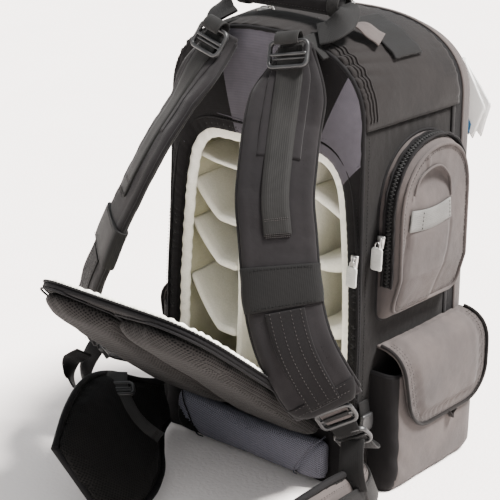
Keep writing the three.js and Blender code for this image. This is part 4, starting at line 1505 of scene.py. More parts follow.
def make_strap(suffix, side):
    route = Route(STRAP_ROUTE)
    body = f"strap_{suffix}"
    pad_end = route.at_height(141)
    seed = 2.0 + side

    def shoulder(share):
        t = share * pad_end
        return 0.55 + 0.45 * smooth(t, 0, 0.12)

    frames = strap_frames(route, side, 0, pad_end, 150)
    section = pillow(PAD_WIDTH, PAD_THICK + 1.0, 40, 3.4)
    rows = []
    for i, (p, a, n) in enumerate(frames):
        share = i / (len(frames) - 1)
        end = min(1, 0.45 + 8 * share, 0.45 + 12 * (1 - share))
        row = []
        for x, y in section:
            edge = clamp(1 - abs(x) / (PAD_WIDTH / 2))
            run = share * 330
            crease = 0.55 * lump(x, 3 * seed, run, 17, seed) + 0.5 * lump(x * 0.3, seed, run, 9, 5.0)
            channel = -1.5 * math.exp(-((abs(x) - 23) / 1.6) ** 2)
            soft = (crease + channel) * (1 if y > 0 else -1) * smooth(edge, 0, 0.12)
            row.append(p + a * x * shoulder(share) + n * (y * end + soft))
        rows.append(row)
    pad = outward(surface(f"strap_pad_{suffix}", rows, NYLON_PAD, closed=True, caps=True))
    place(pad, body, [f"shoulder_pad_{suffix}"])

    last = len(frames) - 1
    for i, edge in enumerate((-1, 1)):
        rim = [p + a * edge * (PAD_WIDTH / 2 + 0.3) * shoulder(k / last) for k, (p, a, n) in enumerate(frames)]
        place(tube(f"strap_rim_{suffix}_{i + 1}", rim[2:-2], 1.9, NYLON_DARK), body)
    channels = []
    for edge in (-1, 1):
        for out in (-1, 1):
            line = [p + a * edge * 23 * shoulder(k / last) + n * out * 5.0
                    for k, (p, a, n) in enumerate(frames)]
            channels.append(line[3:-3])
    place(stitches(f"strap_stitches_{suffix}", channels, THREAD), body)
    make_strap_webbing(suffix, side, route, body)
    make_keeper(suffix, side, route, body)
    make_strap_front(suffix, side, route, body, pad_end)
    make_adjusters(suffix, side, route, body, pad_end)


def make_strap_webbing(suffix, side, route, body):
    top, low = route.at_height(441), route.at_height(290)
    base = PAD_THICK / 2 + 1.5
    frames = strap_frames(route, side, top, low, 90)
    lift = lambda s: base + 3.6 * math.exp(-((s - 0.07) / 0.06) ** 2) + 0.5 * math.sin(9 * s)
    web = sweep(f"strap_web_{suffix}", shifted(frames, 0.0, lift), strap_section(WEBBING, 2.0), WEB_DARK)
    place(web, body, [f"strap_webbing_{suffix}"])
    tail = shifted(strap_frames(route, side, low, low + 0.004, 2), 0, base + 1.4)[0]
    bar_tack(f"strap_tack_{suffix}", tail, WEBBING - 3, body)
    near = shifted(strap_frames(route, side, low - 0.03, low, 2), 0, base + 1.2)[0]
    bar_tack(f"strap_tack_upper_{suffix}", near, WEBBING - 3, body, rows=2)
    lock_frame = shifted(strap_frames(route, side, route.at_height(432), 1, 2), 0, PAD_THICK / 2 + 7.0)[0]
    ladder_lock(f"top_lock_{suffix}", lock_frame, 42, 28, body, f"strap_lock_{suffix}")
    under = strap_frames(route, side, route.at_height(436), route.at_height(352), 40)
    wide = shifted(under, 0.0, PAD_THICK / 2 + 0.4)
    base_strip = sweep(f"strap_base_{suffix}", wide, pillow(40, 1.6, 14, 5), NYLON_PAD,
                       scale=lambda s: (0.72 + 0.28 * smooth(s, 0, 0.3), 1))
    place(base_strip, body)
    loop = []
    origin, across, normal = lock_frame
    up = np.cross(across, normal)
    up = up if up[2] > 0 else -up
    for a in np.linspace(-30, 210, 22):
        r = math.radians(a)
        loop.append(origin + up * (12 + 9 * math.sin(r)) + normal * (1.5 + 6.5 * math.cos(r)))
    lock_loop = sweep(f"lock_loop_{suffix}", frames_on(loop, across), strap_section(24, 1.6), WEB_DARK)
    place(lock_loop, body)


def make_keeper(suffix, side, route, body):
    high, low = route.at_height(266), route.at_height(231)
    frames = strap_frames(route, side, high, low, 16)
    outer = pillow(PAD_WIDTH + 5.5, PAD_THICK + 4.6, 40, 4.2)
    keeper = sweep(f"keeper_band_{suffix}", frames, outer, WEB_BLACK,
                   scale=lambda s: (1 - 0.012 * math.sin(7 * s), 1))
    bevelled = modifier(keeper, "BEVEL", width=0.8 * MM, segments=2, limit_method="ANGLE")
    place(bevelled, body, [f"strap_keeper_{suffix}"])
    rows = []
    for frame in (frames[1], frames[-2]):
        p, a, n = frame
        rows.append([p + a * x + n * (PAD_THICK / 2 + 2.5) for x in np.linspace(-30, 30, 20)])
    place(stitches(f"keeper_stitches_{suffix}", rows, THREAD, pitch=3), body)


def make_strap_front(suffix, side, route, body, pad_end):
    """The raised middle strip with its long seams under the keeper, and the bound end of the pad."""
    start, end = route.at_height(229), pad_end - 0.012
    frames = shifted(strap_frames(route, side, start, end, 60), 0.0, PAD_THICK / 2 + 0.3)
    ribs = sweep(f"strap_strip_{suffix}", frames, pillow(36, 3.0, 26, 5), NYLON_DARK,
                 scale=lambda s: (1 - 0.12 * s, 1 if s < 0.96 else 0.6))
    place(ribs, body)
    lines = [[p + a * x + n * 1.6 for p, a, n in frames] for x in (-14, -5, 5, 14)]
    place(stitches(f"strip_stitches_{suffix}", lines, THREAD_PALE), body)
    cuff = strap_frames(route, side, pad_end - 0.035, pad_end + 0.004, 14)
    section = pillow(PAD_WIDTH + 1.5, PAD_THICK + 2.4, 36, 3.4)
    end_piece = sweep(f"strap_cuff_{suffix}", cuff, section, NYLON_DARK,
                      scale=lambda s: (1 - 0.26 * s ** 2, 1 - 0.35 * s ** 3))
    place(end_piece, body)
    rows = [[p + a * x + n * 7.2 for x in np.linspace(-27, 27, 16)] for p, a, n in (cuff[1], cuff[6])]
    place(stitches(f"cuff_stitches_{suffix}", rows, THREAD_PALE), body)


def make_adjusters(suffix, side, route, body, pad_end):
    upper, lower, anchor = route.at_height(129), route.at_height(102), 1.0
    for name, t, width in (("upper", upper, 38), ("lower", lower, 34)):
        frame = strap_frames(route, side, t, 1, 2)[0]
        ladder_lock(f"adjuster_{name}_lock_{suffix}", frame, width, 24, body, f"adjuster_{name}_{suffix}")
    tab = strap_frames(route, side, pad_end - 0.01, upper + 0.012, 20)
    bridge = sweep(f"adjuster_tab_{suffix}", tab, strap_section(30, 2.6), NYLON,
                   scale=lambda s: (1 - 0.16 * s, 1))
    place(bridge, body)
    weave = lambda s: 2.6 * math.cos(3 * math.pi * s) * (1 if s < 0.9 else 0)
    middle = strap_frames(route, side, upper - 0.008, lower + 0.01, 40)
    web = sweep(f"adjuster_web_{suffix}", shifted(middle, 0, weave), strap_section(WEBBING, 1.8), WEB_BLACK)
    place(web, body)
    last = strap_frames(route, side, lower - 0.006, anchor, 50)
    curve = lambda s: 2.2 * math.exp(-(s / 0.06) ** 2)
    place(sweep(f"anchor_web_{suffix}", shifted(last, 0, curve), strap_section(WEBBING, 2.2), WEB_BLACK),
          body, [f"anchor_webbing_{suffix}"])
    bar_tack(f"anchor_tack_{suffix}", shifted(last, 0, 1.3)[-6], WEBBING - 4, body)
    p, a, n = strap_frames(route, side, lower, 1, 2)[0]
    route, down, back = [], np.array([0, 0, -1]), np.array([0, -1.0, 0])
    for s in np.linspace(0, 1, 26):
        route.append(p + n * (3.0 + 13 * math.sin(math.pi * 0.5 * s)) + a * (4 * s)
                     + down * (44 * s ** 1.15) + back * 5 * math.sin(math.pi * s))
    tail = sweep(f"adjuster_tail_{suffix}", frames_on(route, a), strap_section(WEBBING - 1, 1.7), WEB_BLACK)
    place(tail, body)


# ---- Harness: lumbar pad and hip wings ----

LUMBAR_SEAM = [(90, -91, 54), (90, -99, 53), (84, -106, 46), (74, -107.6, 30), (64, -107, 12), (62, -99, 5.5)]


def make_lumbar():
    low, high = LUMBAR_LOW, LUMBAR_HIGH
    rows = []
    for t in np.linspace(-1, 1, 46):
        end = (1 - abs(t) ** 8) ** 0.5
        thick = (high[1] - low[1] - 5) * (0.72 + 0.28 * end)
        tall = (high[2] - low[2] - 5) * (0.84 + 0.16 * end)
        row = []
        for x, y in pillow(tall, thick, 36, 3.0):
            row.append((t * (high[0] - 3), high[1] - 2.5 - thick / 2 - y, (low[2] + high[2]) / 2 + x))
        rows.append(row)
    pad = outward(surface("lumbar_cushion", rows, MESH_BLUE, closed=True, caps=True))
    puff(pad, 4)
    groove = lambda x, y, z: -2.2 * math.exp(-((abs(x) - 66 - 0.6 * (z - 14)) / 2.6) ** 2)
    wrinkle(pad, lambda x, y, z: (groove(x, y, z) if y < -96 else 0) + 0.5 * lump(x, y, z, 20, 4.0))
    paint(pad, MESH_BLACK, lambda x, y, z: x < -62 - 1.35 * (z - 14))
    place(pad, "bag", ["lumbar_pad"])
    for suffix, side in SIDES:
        line = [(side * x, y, z) for x, y, z in LUMBAR_SEAM]
        seam = tube(f"lumbar_seam_{suffix}", catmull(line, 40), 0.7, MESH_BLUE if side > 0 else BINDING)
        place(seam, "bag")


def wing_point(top, bottom, t, share, out):
    low, high = bottom.at(t), top.at(t)
    rise = high - low
    tangent = unit(top.tangent(t) + bottom.tangent(t))
    across = unit(np.cross(tangent, rise))
    return low + rise * share + across * out


def make_belt_tail(top, bottom, body):
    """The belt's webbing: a loop over the wing's upper edge, then a run down its inner face to a bar tack."""
    loop = [(-160, -176, 101), (-170, -178, 94), (-182, -173, 80), (-184, -173, 64), (-171, -177, 54),
            (-157, -175, 61), (-146, -171, 73), (-138, -168, 80)]
    face = [wing_point(top, bottom, t, share, -WING_THICK / 2 - 2.6)
            for t, share in ((0.30, 0.93), (0.38, 0.78), (0.44, 0.63),
                             (0.47, 0.48), (0.455, 0.32), (0.40, 0.18))]
    section = strap_section(WEBBING - 3, 2.0)
    over = frames_on(catmull(loop, 60), [0.2, -0.65, 0.75])
    place(sweep("belt_loop", over, section, WEB_BLACK), body)
    run = catmull(face, 60)
    hints = np.gradient(run, axis=0)
    across = np.cross(unit(hints[30]), unit(run[30] - wing_point(top, bottom, 0.44, 0.5, 0)))
    frames = frames_on(run, across)
    place(sweep("belt_run", frames, section, WEB_MID), body)
    p, a, n = frames[-6]
    inner = run[-6] - wing_point(top, bottom, 0.42, 0.24, 0)
    n = n if np.dot(n, inner) > 0 else -n
    bar_tack("belt_tack", (p + n * 1.0, a, n), WEBBING - 6, body)
    slider = frames[14]
    ladder_lock("belt_slider", (slider[0] + n * 2.4, slider[1], slider[2]), 34, 20, body, None)


def wing_outside(top, bottom, side):
    """A test for the points of a wing that lie on its outer face."""
    steps = np.linspace(0, 1, 40)
    skin = np.array([wing_point(top, bottom, t, 0.5, -side * 8) for t in steps])
    normals = [unit(np.cross(unit(top.tangent(t) + bottom.tangent(t)), top.at(t) - bottom.at(t))) * -side
               for t in steps]

    def faces_out(x, y, z):
        point = np.array([x, y, z])
        i = int(np.argmin(np.linalg.norm(skin - point, axis=1)))
        centre = skin[i] + normals[i] * -8
        return np.dot(point - centre, normals[i]) > 1.0

    return faces_out


def make_wing(suffix, side):
    top, bottom = Route(WING_EDGES[suffix]["top"]), Route(WING_EDGES[suffix]["bottom"])
    body = f"wing_{suffix}"
    rows = []
    for t in np.linspace(0, 1, 60):
        end = min(1, 0.6 + 9 * t, 0.35 + 14 * (1 - t))
        row = []
        for x, y in pillow(1.0, WING_THICK - 3.4, 40, 3.4):
            row.append(wing_point(top, bottom, t, 0.5 + x, y * end))
        rows.append(row)
    blade = outward(surface(f"wing_cushion_{suffix}", rows, MESH_BLACK, closed=True, caps=True))
    puff(blade, 4)
    wrinkle(blade, lambda x, y, z: 0.8 * lump(x, y, z, 26, 2.0 + side) + 0.4 * lump(x, y, z, 11, 5.0))
    # Only the right wing's outer face gets the charcoal nylon; the left wing's outer face stays black mesh as
    # painted shade
    if side > 0:
        paint(blade, NYLON, wing_outside(top, bottom, side))
    place(blade, body, [f"hip_wing_{suffix}"])

    core_rows = [[wing_point(top, bottom, t, share, 0) for share in np.linspace(0.02, 0.98, 14)]
                 for t in np.linspace(0.015, 0.975, 50)]
    core = thicken(surface(f"wing_core_{suffix}", core_rows, MESH_BLACK), 2.4, offset=0)
    box_uv(core)
    place(core, body)
    for edge, share in (("top", 0.972), ("bottom", 0.028)):
        rim = [wing_point(top, bottom, t, share, 0) for t in np.linspace(0.01, 0.985, 90)]
        place(tube(f"wing_rim_{suffix}_{edge}", rim, 3.4, BINDING, sides=12), body)
    tip = [wing_point(top, bottom, 0.98, share, 0) for share in np.linspace(0.03, 0.97, 24)]
    place(tube(f"wing_tip_{suffix}", tip, 3.4, BINDING, sides=12), body)
    frames = []
    for t in np.linspace(0.07, 0.93, 70):
        centre = wing_point(top, bottom, t, 0.57, -side * (WING_THICK / 2 + 2.4))
        rise = unit(top.at(t) - bottom.at(t))
        normal = unit(centre - wing_point(top, bottom, t, 0.57, 0))
        frames.append((centre, rise, normal))
    web = sweep(f"wing_web_{suffix}", frames, strap_section(WEBBING, 2.0), WEB_BLACK)
    place(web, body, [f"hip_webbing_{suffix}"])
    for i in (4, 24, 46, 65):
        p, a, n = frames[i]
        bar_tack(f"wing_tack_{suffix}_{i}", (p + n * 1.1, a, n), WEBBING - 4, body)
    if side < 0:
        make_belt_tail(top, bottom, body)
    channels = []
    for share in (0.28, 0.86):
        for out in (-1, 1):
            lift = out * (WING_THICK / 2 + 0.5)
            channels.append([wing_point(top, bottom, t, share, lift) for t in np.linspace(0.06, 0.94, 60)])
    place(stitches(f"wing_stitches_{suffix}", channels, THREAD), body)


# ---- Side pockets; out is the distance from the side panel ----

POCKET_GAP = 0.6
UPPER = {"back": -60, "front": 61, "bottom": 178, "top": 355, "depth": 23}
LOWER = {"back": -64, "front": 84, "top": 126, "depth": 27}
FLAP = {"back": -42, "front": 88, "hinge": 154, "drop": 62, "reach": 36, "round": 34}


def on_side(side, y, z, out):
    return np.array([side * (side_x(y, z) + POCKET_GAP + out), y, z])


def upper_loop():
    left, right, bottom, top = (UPPER[edge] for edge in ("back", "front", "bottom", "top"))
    middle = (left + right) / 2
    steps = np.linspace(0, 1, 14)
    points = [(middle, bottom), (right - 12, bottom)]
    for curve in (
        [(right - 12, bottom), (right, bottom), (right, bottom + 16)],
        [(right, top - 62), (right, top - 18), (right - 24, top), (middle + 6, top)],
        [(middle + 6, top), (left + 26, top), (left, top - 30), (left, top - 74)],
        [(left, bottom + 16), (left, bottom), (left + 12, bottom)],
    ):
        points += bend(curve, steps)
    return resample(points, 180, closed=True)


UPPER_MIDDLE = np.array([0.5, 268.0])


def upper_depth(z):
    return UPPER["depth"] * (0.45 + 0.55 * clamp((z - UPPER["bottom"]) / 46))


SCOOP_LIP = np.array([
    (-38, 305), (-34, 315), (-27, 322), (-17, 326), (-7, 328),
    (3, 327), (13, 320), (20, 311), (22, 302), (23, 293),
])


def pocket_relief(y, z):
    """The shapes in the pocket's face: the slot's hollow, a pinched fold above, a raised panel below."""
    roof = float(np.interp(y, SCOOP_LIP[:, 0], SCOOP_LIP[:, 1]))
    inside = smooth(y, -40, -33) * smooth(24 - y, 0, 4) * smooth(roof - z, -0.5, 3.5)
    hollow = -6.5 * inside * smooth(z, 290, 322)
    fold = 2.2 * math.exp(-((y + 15) / 2.0) ** 2) * smooth(z, 326, 333) * smooth(352 - z, 0, 10)
    left = mix(-45, -54, smooth(270 - z, 0, 60))
    right = mix(25, 14, smooth(264 - z, 0, 70))
    below = smooth(272 - z, 0, 8)
    panel = 2.4 * smooth(y - left, 0, 9) * smooth(right - y, 0, 9) * below
    groove = -1.8 * (math.exp(-((y - left) / 2.2) ** 2) + 0.6 * math.exp(-((y - right) / 2.0) ** 2)) * below
    return hollow + fold + panel + groove


def upper_ring(side, share, grow, loop):
    """A loop of the pocket: share is how far out, grow how far in from the rim (0) to the middle (1)."""
    middle_y, middle_z = UPPER_MIDDLE
    row = []
    for i, (y, z) in enumerate(loop):
        shrink = (1 - 0.10 * share ** 3) * (1 - grow)
        y2 = middle_y + (y - middle_y) * shrink
        z2 = middle_z + (z - middle_z) * shrink
        out = upper_depth(z2) * share
        if grow > 0:
            out += 2.6 * (1 - (1 - grow) ** 2) + 0.8 * lump(y2, side * 3, z2, 28, 6.6) * smooth(grow, 0, 0.2)
            out += 0.5 * lump(y2, side, z2, 12, 1.3) * smooth(grow, 0, 0.2)
            out += pucker(0, i * 2.8, 15, 0.4) * math.exp(-grow / 0.08)
            out += pocket_relief(y2, z2)
        row.append(on_side(side, y2, z2, out))
    return row


def make_upper_pocket(suffix, side):
    loop = upper_loop()
    rows = [upper_ring(side, s, 0, loop) for s in (0, 0.12, 0.3, 0.5, 0.7, 0.84, 0.93, 0.975)]
    rows += [upper_ring(side, 1.0, g, loop) for g in (0.012, 0.03, 0.05, *np.linspace(0.085, 0.97, 56))]
    pocket = outward(surface(f"upper_pocket_shell_{suffix}", rows, NYLON, closed=True, caps=True))
    box_uv(pocket)
    place(pocket, "bag", [f"upper_pocket_{suffix}"])

    rim = np.array(upper_ring(side, 0.985, 0.0, loop)) + np.array([side * 0.7, 0, 0])
    place(tube(f"upper_pocket_piping_{suffix}", rim, 1.9, NYLON, closed=True), "bag")
    foot = np.array(upper_ring(side, 0.02, -0.012, loop))
    place(tube(f"upper_pocket_seam_{suffix}", foot, 1.6, BINDING, closed=True), "bag")

    arch = [i for i, (y, z) in enumerate(loop) if z > 236 or (y < 0 and z > 214)]
    frames = []
    points = np.array(upper_ring(side, 0.55, 0.0, loop))[arch]
    for i, p in zip(arch, points):
        before, after = loop[i - 1], loop[(i + 1) % len(loop)]
        ty, tz = unit(after - before)
        normal = np.array([0, tz, -ty])
        if np.dot(normal[1:], loop[i] - UPPER_MIDDLE) < 0:
            normal = -normal
        frames.append((p, np.array([side * 1.0, 0, 0]), normal))
    crinkle = lambda s: 0.9 + 0.5 * math.sin(130 * s) * math.exp(-((s - 0.86) / 0.12) ** 2)
    tape = sweep(f"upper_pocket_tape_{suffix}", shifted(frames, 0, crinkle), strap_section(13, 1.2), BINDING)
    place(tape, "bag")
    coil = zip_coil(f"upper_pocket_coil_{suffix}", shifted(frames, 0, 2.0), width=4.4)
    place(coil, "bag")
    for edge in (-1, 1):
        lip = [p + a * edge * 5.6 + n * (1.9 + 0.5 * math.sin(i * 0.9)) for i, (p, a, n) in enumerate(frames)]
        lip = tube(f"upper_pocket_lip_{suffix}_{edge + 2}", catmull(lip, 200), 1.2, NYLON_DARK)
        place(lip, "bag")

    row = np.array(upper_ring(side, 1.0, 0.055, loop)) + np.array([side * 0.35, 0, 0])
    place(stitches(f"upper_pocket_stitches_{suffix}", [row], THREAD_PALE), "bag")
    make_scoop(suffix, side)


def face_out(y, z):
    """About how far out the upper pocket's face stands at a place on it."""
    return upper_depth(z) + 2.4


def make_scoop(suffix, side):
    """The bound lip of the curved slot, and the grey webbing sewn across below it."""
    line = [on_side(side, y, z, face_out(y, z) - 0.2) for y, z in catmull(SCOOP_LIP, 90)]
    place(tube(f"scoop_lip_{suffix}", line, 1.2, NYLON, sides=8), "bag")
    centres = []
    for t in np.linspace(0, 1, 30):
        y, z = mix(-44, 22, t), 281 - 3 * math.sin(math.pi * t)
        centres.append(on_side(side, y, z, face_out(y, z) + 0.5 + 1.0 * math.sin(math.pi * t)))
    frames = frames_on(centres, np.array([0, 0, 1.0]))
    band = sweep(f"scoop_strip_{suffix}", frames, strap_section(21, 1.5), WEB_GREY)
    place(band, "bag")
    rows = []
    for i in (8, 28):
        p, a, n = frames[i]
        n = n if n[0] * side > 0 else -n
        rows.append([p - a * 9.5 + n * 1.0, p + a * 9.5 + n * 1.0])
    place(stitches(f"scoop_tack_{suffix}", rows, THREAD), "bag")


def lower_plan(z):
    """Half-round plan of the lower pocket at a height, from its rear seam to its front seam: (out, y)."""
    back, front, reach = LOWER["back"], LOWER["front"], LOWER["depth"]
    foot = smooth(z, -4, 12)
    reach = reach * mix(0.72, 1.0, foot)
    steps = np.linspace(0, 1, 10)
    rear = bend([(reach - 12, back), (reach, back), (reach, back + 12)], steps)
    ahead = bend([(reach, front - 26), (reach, front), (reach - 20, front)], steps)
    return resample([(0, back), *rear, *ahead, (0, front)], 120)


def lower_skin(side, z, grow=0.0):
    row = []
    for i, (out, y) in enumerate(lower_plan(z)):
        share = i / 119
        arc = math.sin(math.pi * share)
        fade = 1 if z < 70 else math.exp(-(z - 70) / 30)
        belly = 2.2 * math.sin(math.pi * clamp(z / 90)) * arc ** 0.6 * fade
        soft = 0.9 * lump(y, side * 2, z, 26, 3.0 + side) * arc
        near_corner = math.exp(-((share - 0.14) / 0.09) ** 2)
        crease = 0.8 * math.sin((y + 1.3 * z) / 5.5) * near_corner * math.exp(-((z - 30) / 40) ** 2)
        row.append(on_side(side, y, z, out + (belly + soft + crease + grow) * (1 if out > 2 else 0)))
    return row


def make_lower_pocket(suffix, side):
    rows = [lower_skin(side, z) for z in np.concatenate([[0.6, 2.5, 6], np.linspace(11, LOWER["top"], 46)])]
    shell = surface(f"lower_pocket_shell_{suffix}", rows, NYLON, flip=side > 0)
    # The pocket's rear 7 mm is black nylon: partly its dark seam edge, partly painted shade on the rear face
    paint(shell, NYLON_DARK, lambda x, y, z: y < LOWER["back"] + 7)
    thicken(shell, 2.4)
    place(shell, "bag", [f"lower_pocket_{suffix}"])
    low = lower_skin(side, 0.8)
    plate_rows = []
    for t in (0, 0.33, 0.66, 1):
        plate_rows.append([mix(np.array(p), on_side(side, p[1], 0.8, 0), t) + np.array([0, 0, 0.4])
                           for p in low])
    plate = surface(f"lower_pocket_base_{suffix}", plate_rows, NYLON_DARK, flip=side < 0)
    place(thicken(plate, 1.5), "bag")
    rim = lower_skin(side, LOWER["top"], 0.2)
    place(tube(f"lower_pocket_rim_{suffix}", rim, 2.0, BINDING), "bag")
    for name, index in (("rear", 26), ("front", 92)):
        line = [np.array(lower_skin(side, z, 0.4)[index]) for z in np.linspace(3, LOWER["top"] - 2, 40)]
        place(tube(f"lower_pocket_{name}_piping_{suffix}", line, 1.5, BINDING), "bag")
    line = [np.array(lower_skin(side, z, 0.8)[33]) for z in np.linspace(5, LOWER["top"] - 4, 40)]
    place(stitches(f"lower_pocket_stitches_{suffix}", [line], THREAD), "bag")
    foot = lower_skin(side, 4.0, 0.4)
    place(tube(f"lower_pocket_hem_{suffix}", foot, 1.8, BINDING), "bag")


def flap_profile():
    """The pocket flap in section, from its root on the side panel to its lower edge: (out, z)."""
    hinge, drop, out = FLAP["hinge"], FLAP["drop"], FLAP["reach"]
    steps = np.linspace(0, 1, 20)
    over = bend([(1.2, hinge - 1), (out - 2, hinge - 2), (out + 1, hinge - 30)], steps)
    down = bend([(out + 1, hinge - 30), (out + 3, drop + 30), (out, drop)], steps[1:])
    return resample([*over, *down], 60)


def make_pocket_flap(suffix, side):
    hinge, radius, drop = FLAP["hinge"], FLAP["round"], FLAP["drop"]
    root = wall_half(hinge)
    profile = flap_profile()
    body = f"pocket_flap_{suffix}"
    length = along(profile)[-1]
    run = along(profile)

    def edge_inset(z):
        below = clamp((drop + radius - z) / radius)
        return radius - math.sqrt(max(0, radius ** 2 - (radius * below) ** 2))

    def place_at(v_index, u, lift=0.0):
        out, z = profile[v_index]
        cut = edge_inset(z) * 0.94
        back = FLAP["back"] - 15 * smooth(z, drop - 6, hinge - 12)
        y = mix(back + cut, FLAP["front"] - cut, u)
        ahead = profile[min(v_index + 1, len(profile) - 1)] - profile[max(v_index - 1, 0)]
        normal = unit(np.array([-ahead[1], ahead[0]]))
        x = root + out + normal[0] * lift + SIDE_FLARE * (y - BACK_Y)
        return np.array([side * x, y, z + normal[1] * lift])

    def cushion(v, u):
        z = profile[v][1]
        cut = edge_inset(z)
        width = FLAP["front"] - FLAP["back"] - 2 * cut
        from_side = min(u, 1 - u) * width
        from_end = min(length - run[v], 2.4 * run[v])
        inner = smooth(min(from_side, from_end), 10, 22)
        wave = 0.8 * lump(u * 120, side * 4, run[v], 24, 5.2) + 0.5 * lump(u * 120, side, run[v], 11, 2.2)
        edge = pucker(min(from_side, from_end) - 10, u * 120 + run[v], 11, 0.7, 5)
        return 3.6 * inner + wave * inner + edge

    us = np.linspace(0, 1, 64)
    rows = [[place_at(v, u, cushion(v, u) - 1.2) for u in us] for v in range(len(profile))]
    skin = surface(f"pocket_flap_skin_{suffix}", rows, NYLON, flip=side > 0)
    thicken(skin, 2.6)
    place(skin, body, [f"pocket_flap_{suffix}"])
    ends = range(3, len(profile))
    outline = [place_at(v, 0.0) for v in ends] + [place_at(len(profile) - 1, u) for u in us[1:-1]]
    outline += [place_at(v, 1.0) for v in reversed(ends)]
    outline = resample(outline, 220)
    place(tube(f"pocket_flap_binding_{suffix}", outline, 1.9, NYLON_CROWN, sides=10), body)
    paths = []
    for gap in (0.045, 0.075):
        line = [place_at(v, gap, 0.9) for v in range(6, len(profile) - 4)]
        line += [place_at(len(profile) - 4, u, 0.9) for u in np.linspace(gap, 1 - gap, 40)]
        line += [place_at(v, 1 - gap, 0.9) for v in range(len(profile) - 5, 6, -1)]
        paths.append(line)
    place(stitches(f"pocket_flap_stitches_{suffix}", paths, THREAD_PALE), body)
    tab = []
    centre = place_at(len(profile) - 1, 0.62)
    for a in np.linspace(0, 1, 20):
        out = side * (0.5 + 1.8 * math.sin(math.pi * 2 * a))
        tab.append(centre + np.array([out, 14 * (a - 0.5), -8.0 * math.sin(math.pi * a)]))
    frames = frames_on(tab, [side * 1.0, 0, 0])
    place(sweep(f"pocket_flap_pull_{suffix}", frames, strap_section(6, 1.4), NYLON_CROWN), body)


# ---- Grab handle, crown band, zip pulls, tag ----

GRIP = {"y": -48, "z": 475, "radius": 11, "half": 58}
WRAP_EDGE = 205  # degrees round the grip to the wrap's overlapping edge
HANDLE_LEG = [[60, -48, 475], [67, -49, 474], [72, -60, 467], [66, -74, 457], [56, -81, 453]]


def make_handle():
    rows = []
    for t in np.linspace(-1, 1, 70):
        x = t * GRIP["half"]
        end = min(1, 0.86 + 3 * (1 - abs(t)))
        row = []
        for a in whole_turn(44):
            degrees = math.degrees(a) % 360
            fold = 0.8 * math.exp(-((degrees - WRAP_EDGE) / 9) ** 2)
            step = 0.9 * smooth(degrees, WRAP_EDGE, 214) * (1 - smooth(degrees, 300, 360))
            soft = 0.4 * lump(x, 10 * math.cos(a), 10 * math.sin(a), 18, 4.0)
            wrap = 0.35 * math.sin(x / 2.6 + 2 * a) * math.exp(-((abs(x) - 54) / 6) ** 2)
            r = (GRIP["radius"] - 1.6) * end + fold + step + soft + wrap
            row.append((x, GRIP["y"] + r * math.cos(a), GRIP["z"] + r * math.sin(a)))
        rows.append(row)
    grip = outward(surface("handle_wrap", rows, NYLON_DARK, closed=True, caps=True))
    place(grip, "handle", ["handle_grip"])
    turn = math.radians(WRAP_EDGE + 2)
    seam_y, seam_z = GRIP["y"] + 10.3 * math.cos(turn), GRIP["z"] + 10.3 * math.sin(turn)
    seam = [(x, seam_y, seam_z) for x in np.linspace(-54, 54, 60)]
    place(stitches("handle_stitches", [seam], THREAD_PALE), "handle")
    route = Route(HANDLE_LEG)
    for suffix, side in SIDES:
        flip = np.array([side, 1, 1])
        frames = []
        for t in np.linspace(0, 1, 50):
            tangent = route.tangent(t)
            across = unit(mix(np.array([0, 1.0, 0.2]), np.array([1.0, 0.1, 0]), smooth(t, 0.15, 0.8)))
            across = unit(across - tangent * np.dot(across, tangent))
            frames.append((route.at(t) * flip, across * flip, np.cross(tangent, across) * flip))
        leg = sweep(f"handle_strap_{suffix}", frames, strap_section(21, 2.6), WEB_BLACK,
                    scale=lambda s: (1 + 0.45 * smooth(s, 0.2, 0.9), 1))
        modifier(leg, "BEVEL", width=0.5 * MM, segments=2, limit_method="ANGLE")
        place(leg, "handle", [f"handle_leg_{suffix}"])
        cuff_x = side * GRIP["half"] - side * 3
        ring = [(cuff_x, GRIP["y"] + 11.2 * math.cos(a), GRIP["z"] + 11.2 * math.sin(a))
                for a in whole_turn(40)]
        round_grip = frames_on(ring, [1.0, 0, 0], closed=True)
        cuff = sweep(f"handle_cuff_{suffix}", round_grip, pillow(13, 2.2, 12, 4), WEB_DARK, closed=True)
        place(cuff, "handle")
        root = []
        for t in np.linspace(0, 1, 26):
            x = mix(48, 74, t)
            angle_point = flare(x, BACK_Y + 5, 450 - 0.62 * max(0, x - 48) - 2.0)
            root.append(angle_point * flip + np.array([0, -1.5, 1.6 * math.sin(math.pi * t) + 3.0]))
        root_frames = frames_on(root, [0, 1.0, 0.1])
        web = sweep(f"handle_root_{suffix}", root_frames, strap_section(30, 2.2), WEB_BLACK)
        place(web, "bag")


def make_crown_band():
    """The wide band on the crown's right shoulder, with its folded grey end."""
    rows = []
    for i, degrees in enumerate(np.linspace(34, 68, 40)):
        row = []
        for y in np.linspace(-26, 18, 14):
            puffed = 2.2 + 0.6 * math.sin(i * 0.35) + 0.4 * lump(i * 4, y, 0, 14, 3.0)
            x, z = crown_point(math.radians(degrees), puffed + 4.4)
            row.append(flare(x, y, z))
        rows.append(row)
    band = surface("crown_strap", rows, WEB_BLACK)
    outward(band)
    thicken(band, 2.0, offset=0)
    place(band, "bag", ["crown_band"])
    path = []
    for t in np.linspace(0, 1, 34):
        degrees = mix(64, 47, t)
        x, z = crown_point(math.radians(degrees), 9.4 + 3.4 * math.sin(math.pi * t) + 1.2 * math.sin(7 * t))
        path.append(flare(x, mix(-44, -30, t), z))
    fold = sweep("crown_fold", frames_on(path, [0.15, 1.0, 0]), strap_section(21, 1.8), NYLON,
                 scale=lambda s: (1 - 0.2 * (1 - s), 1))
    place(fold, "bag")


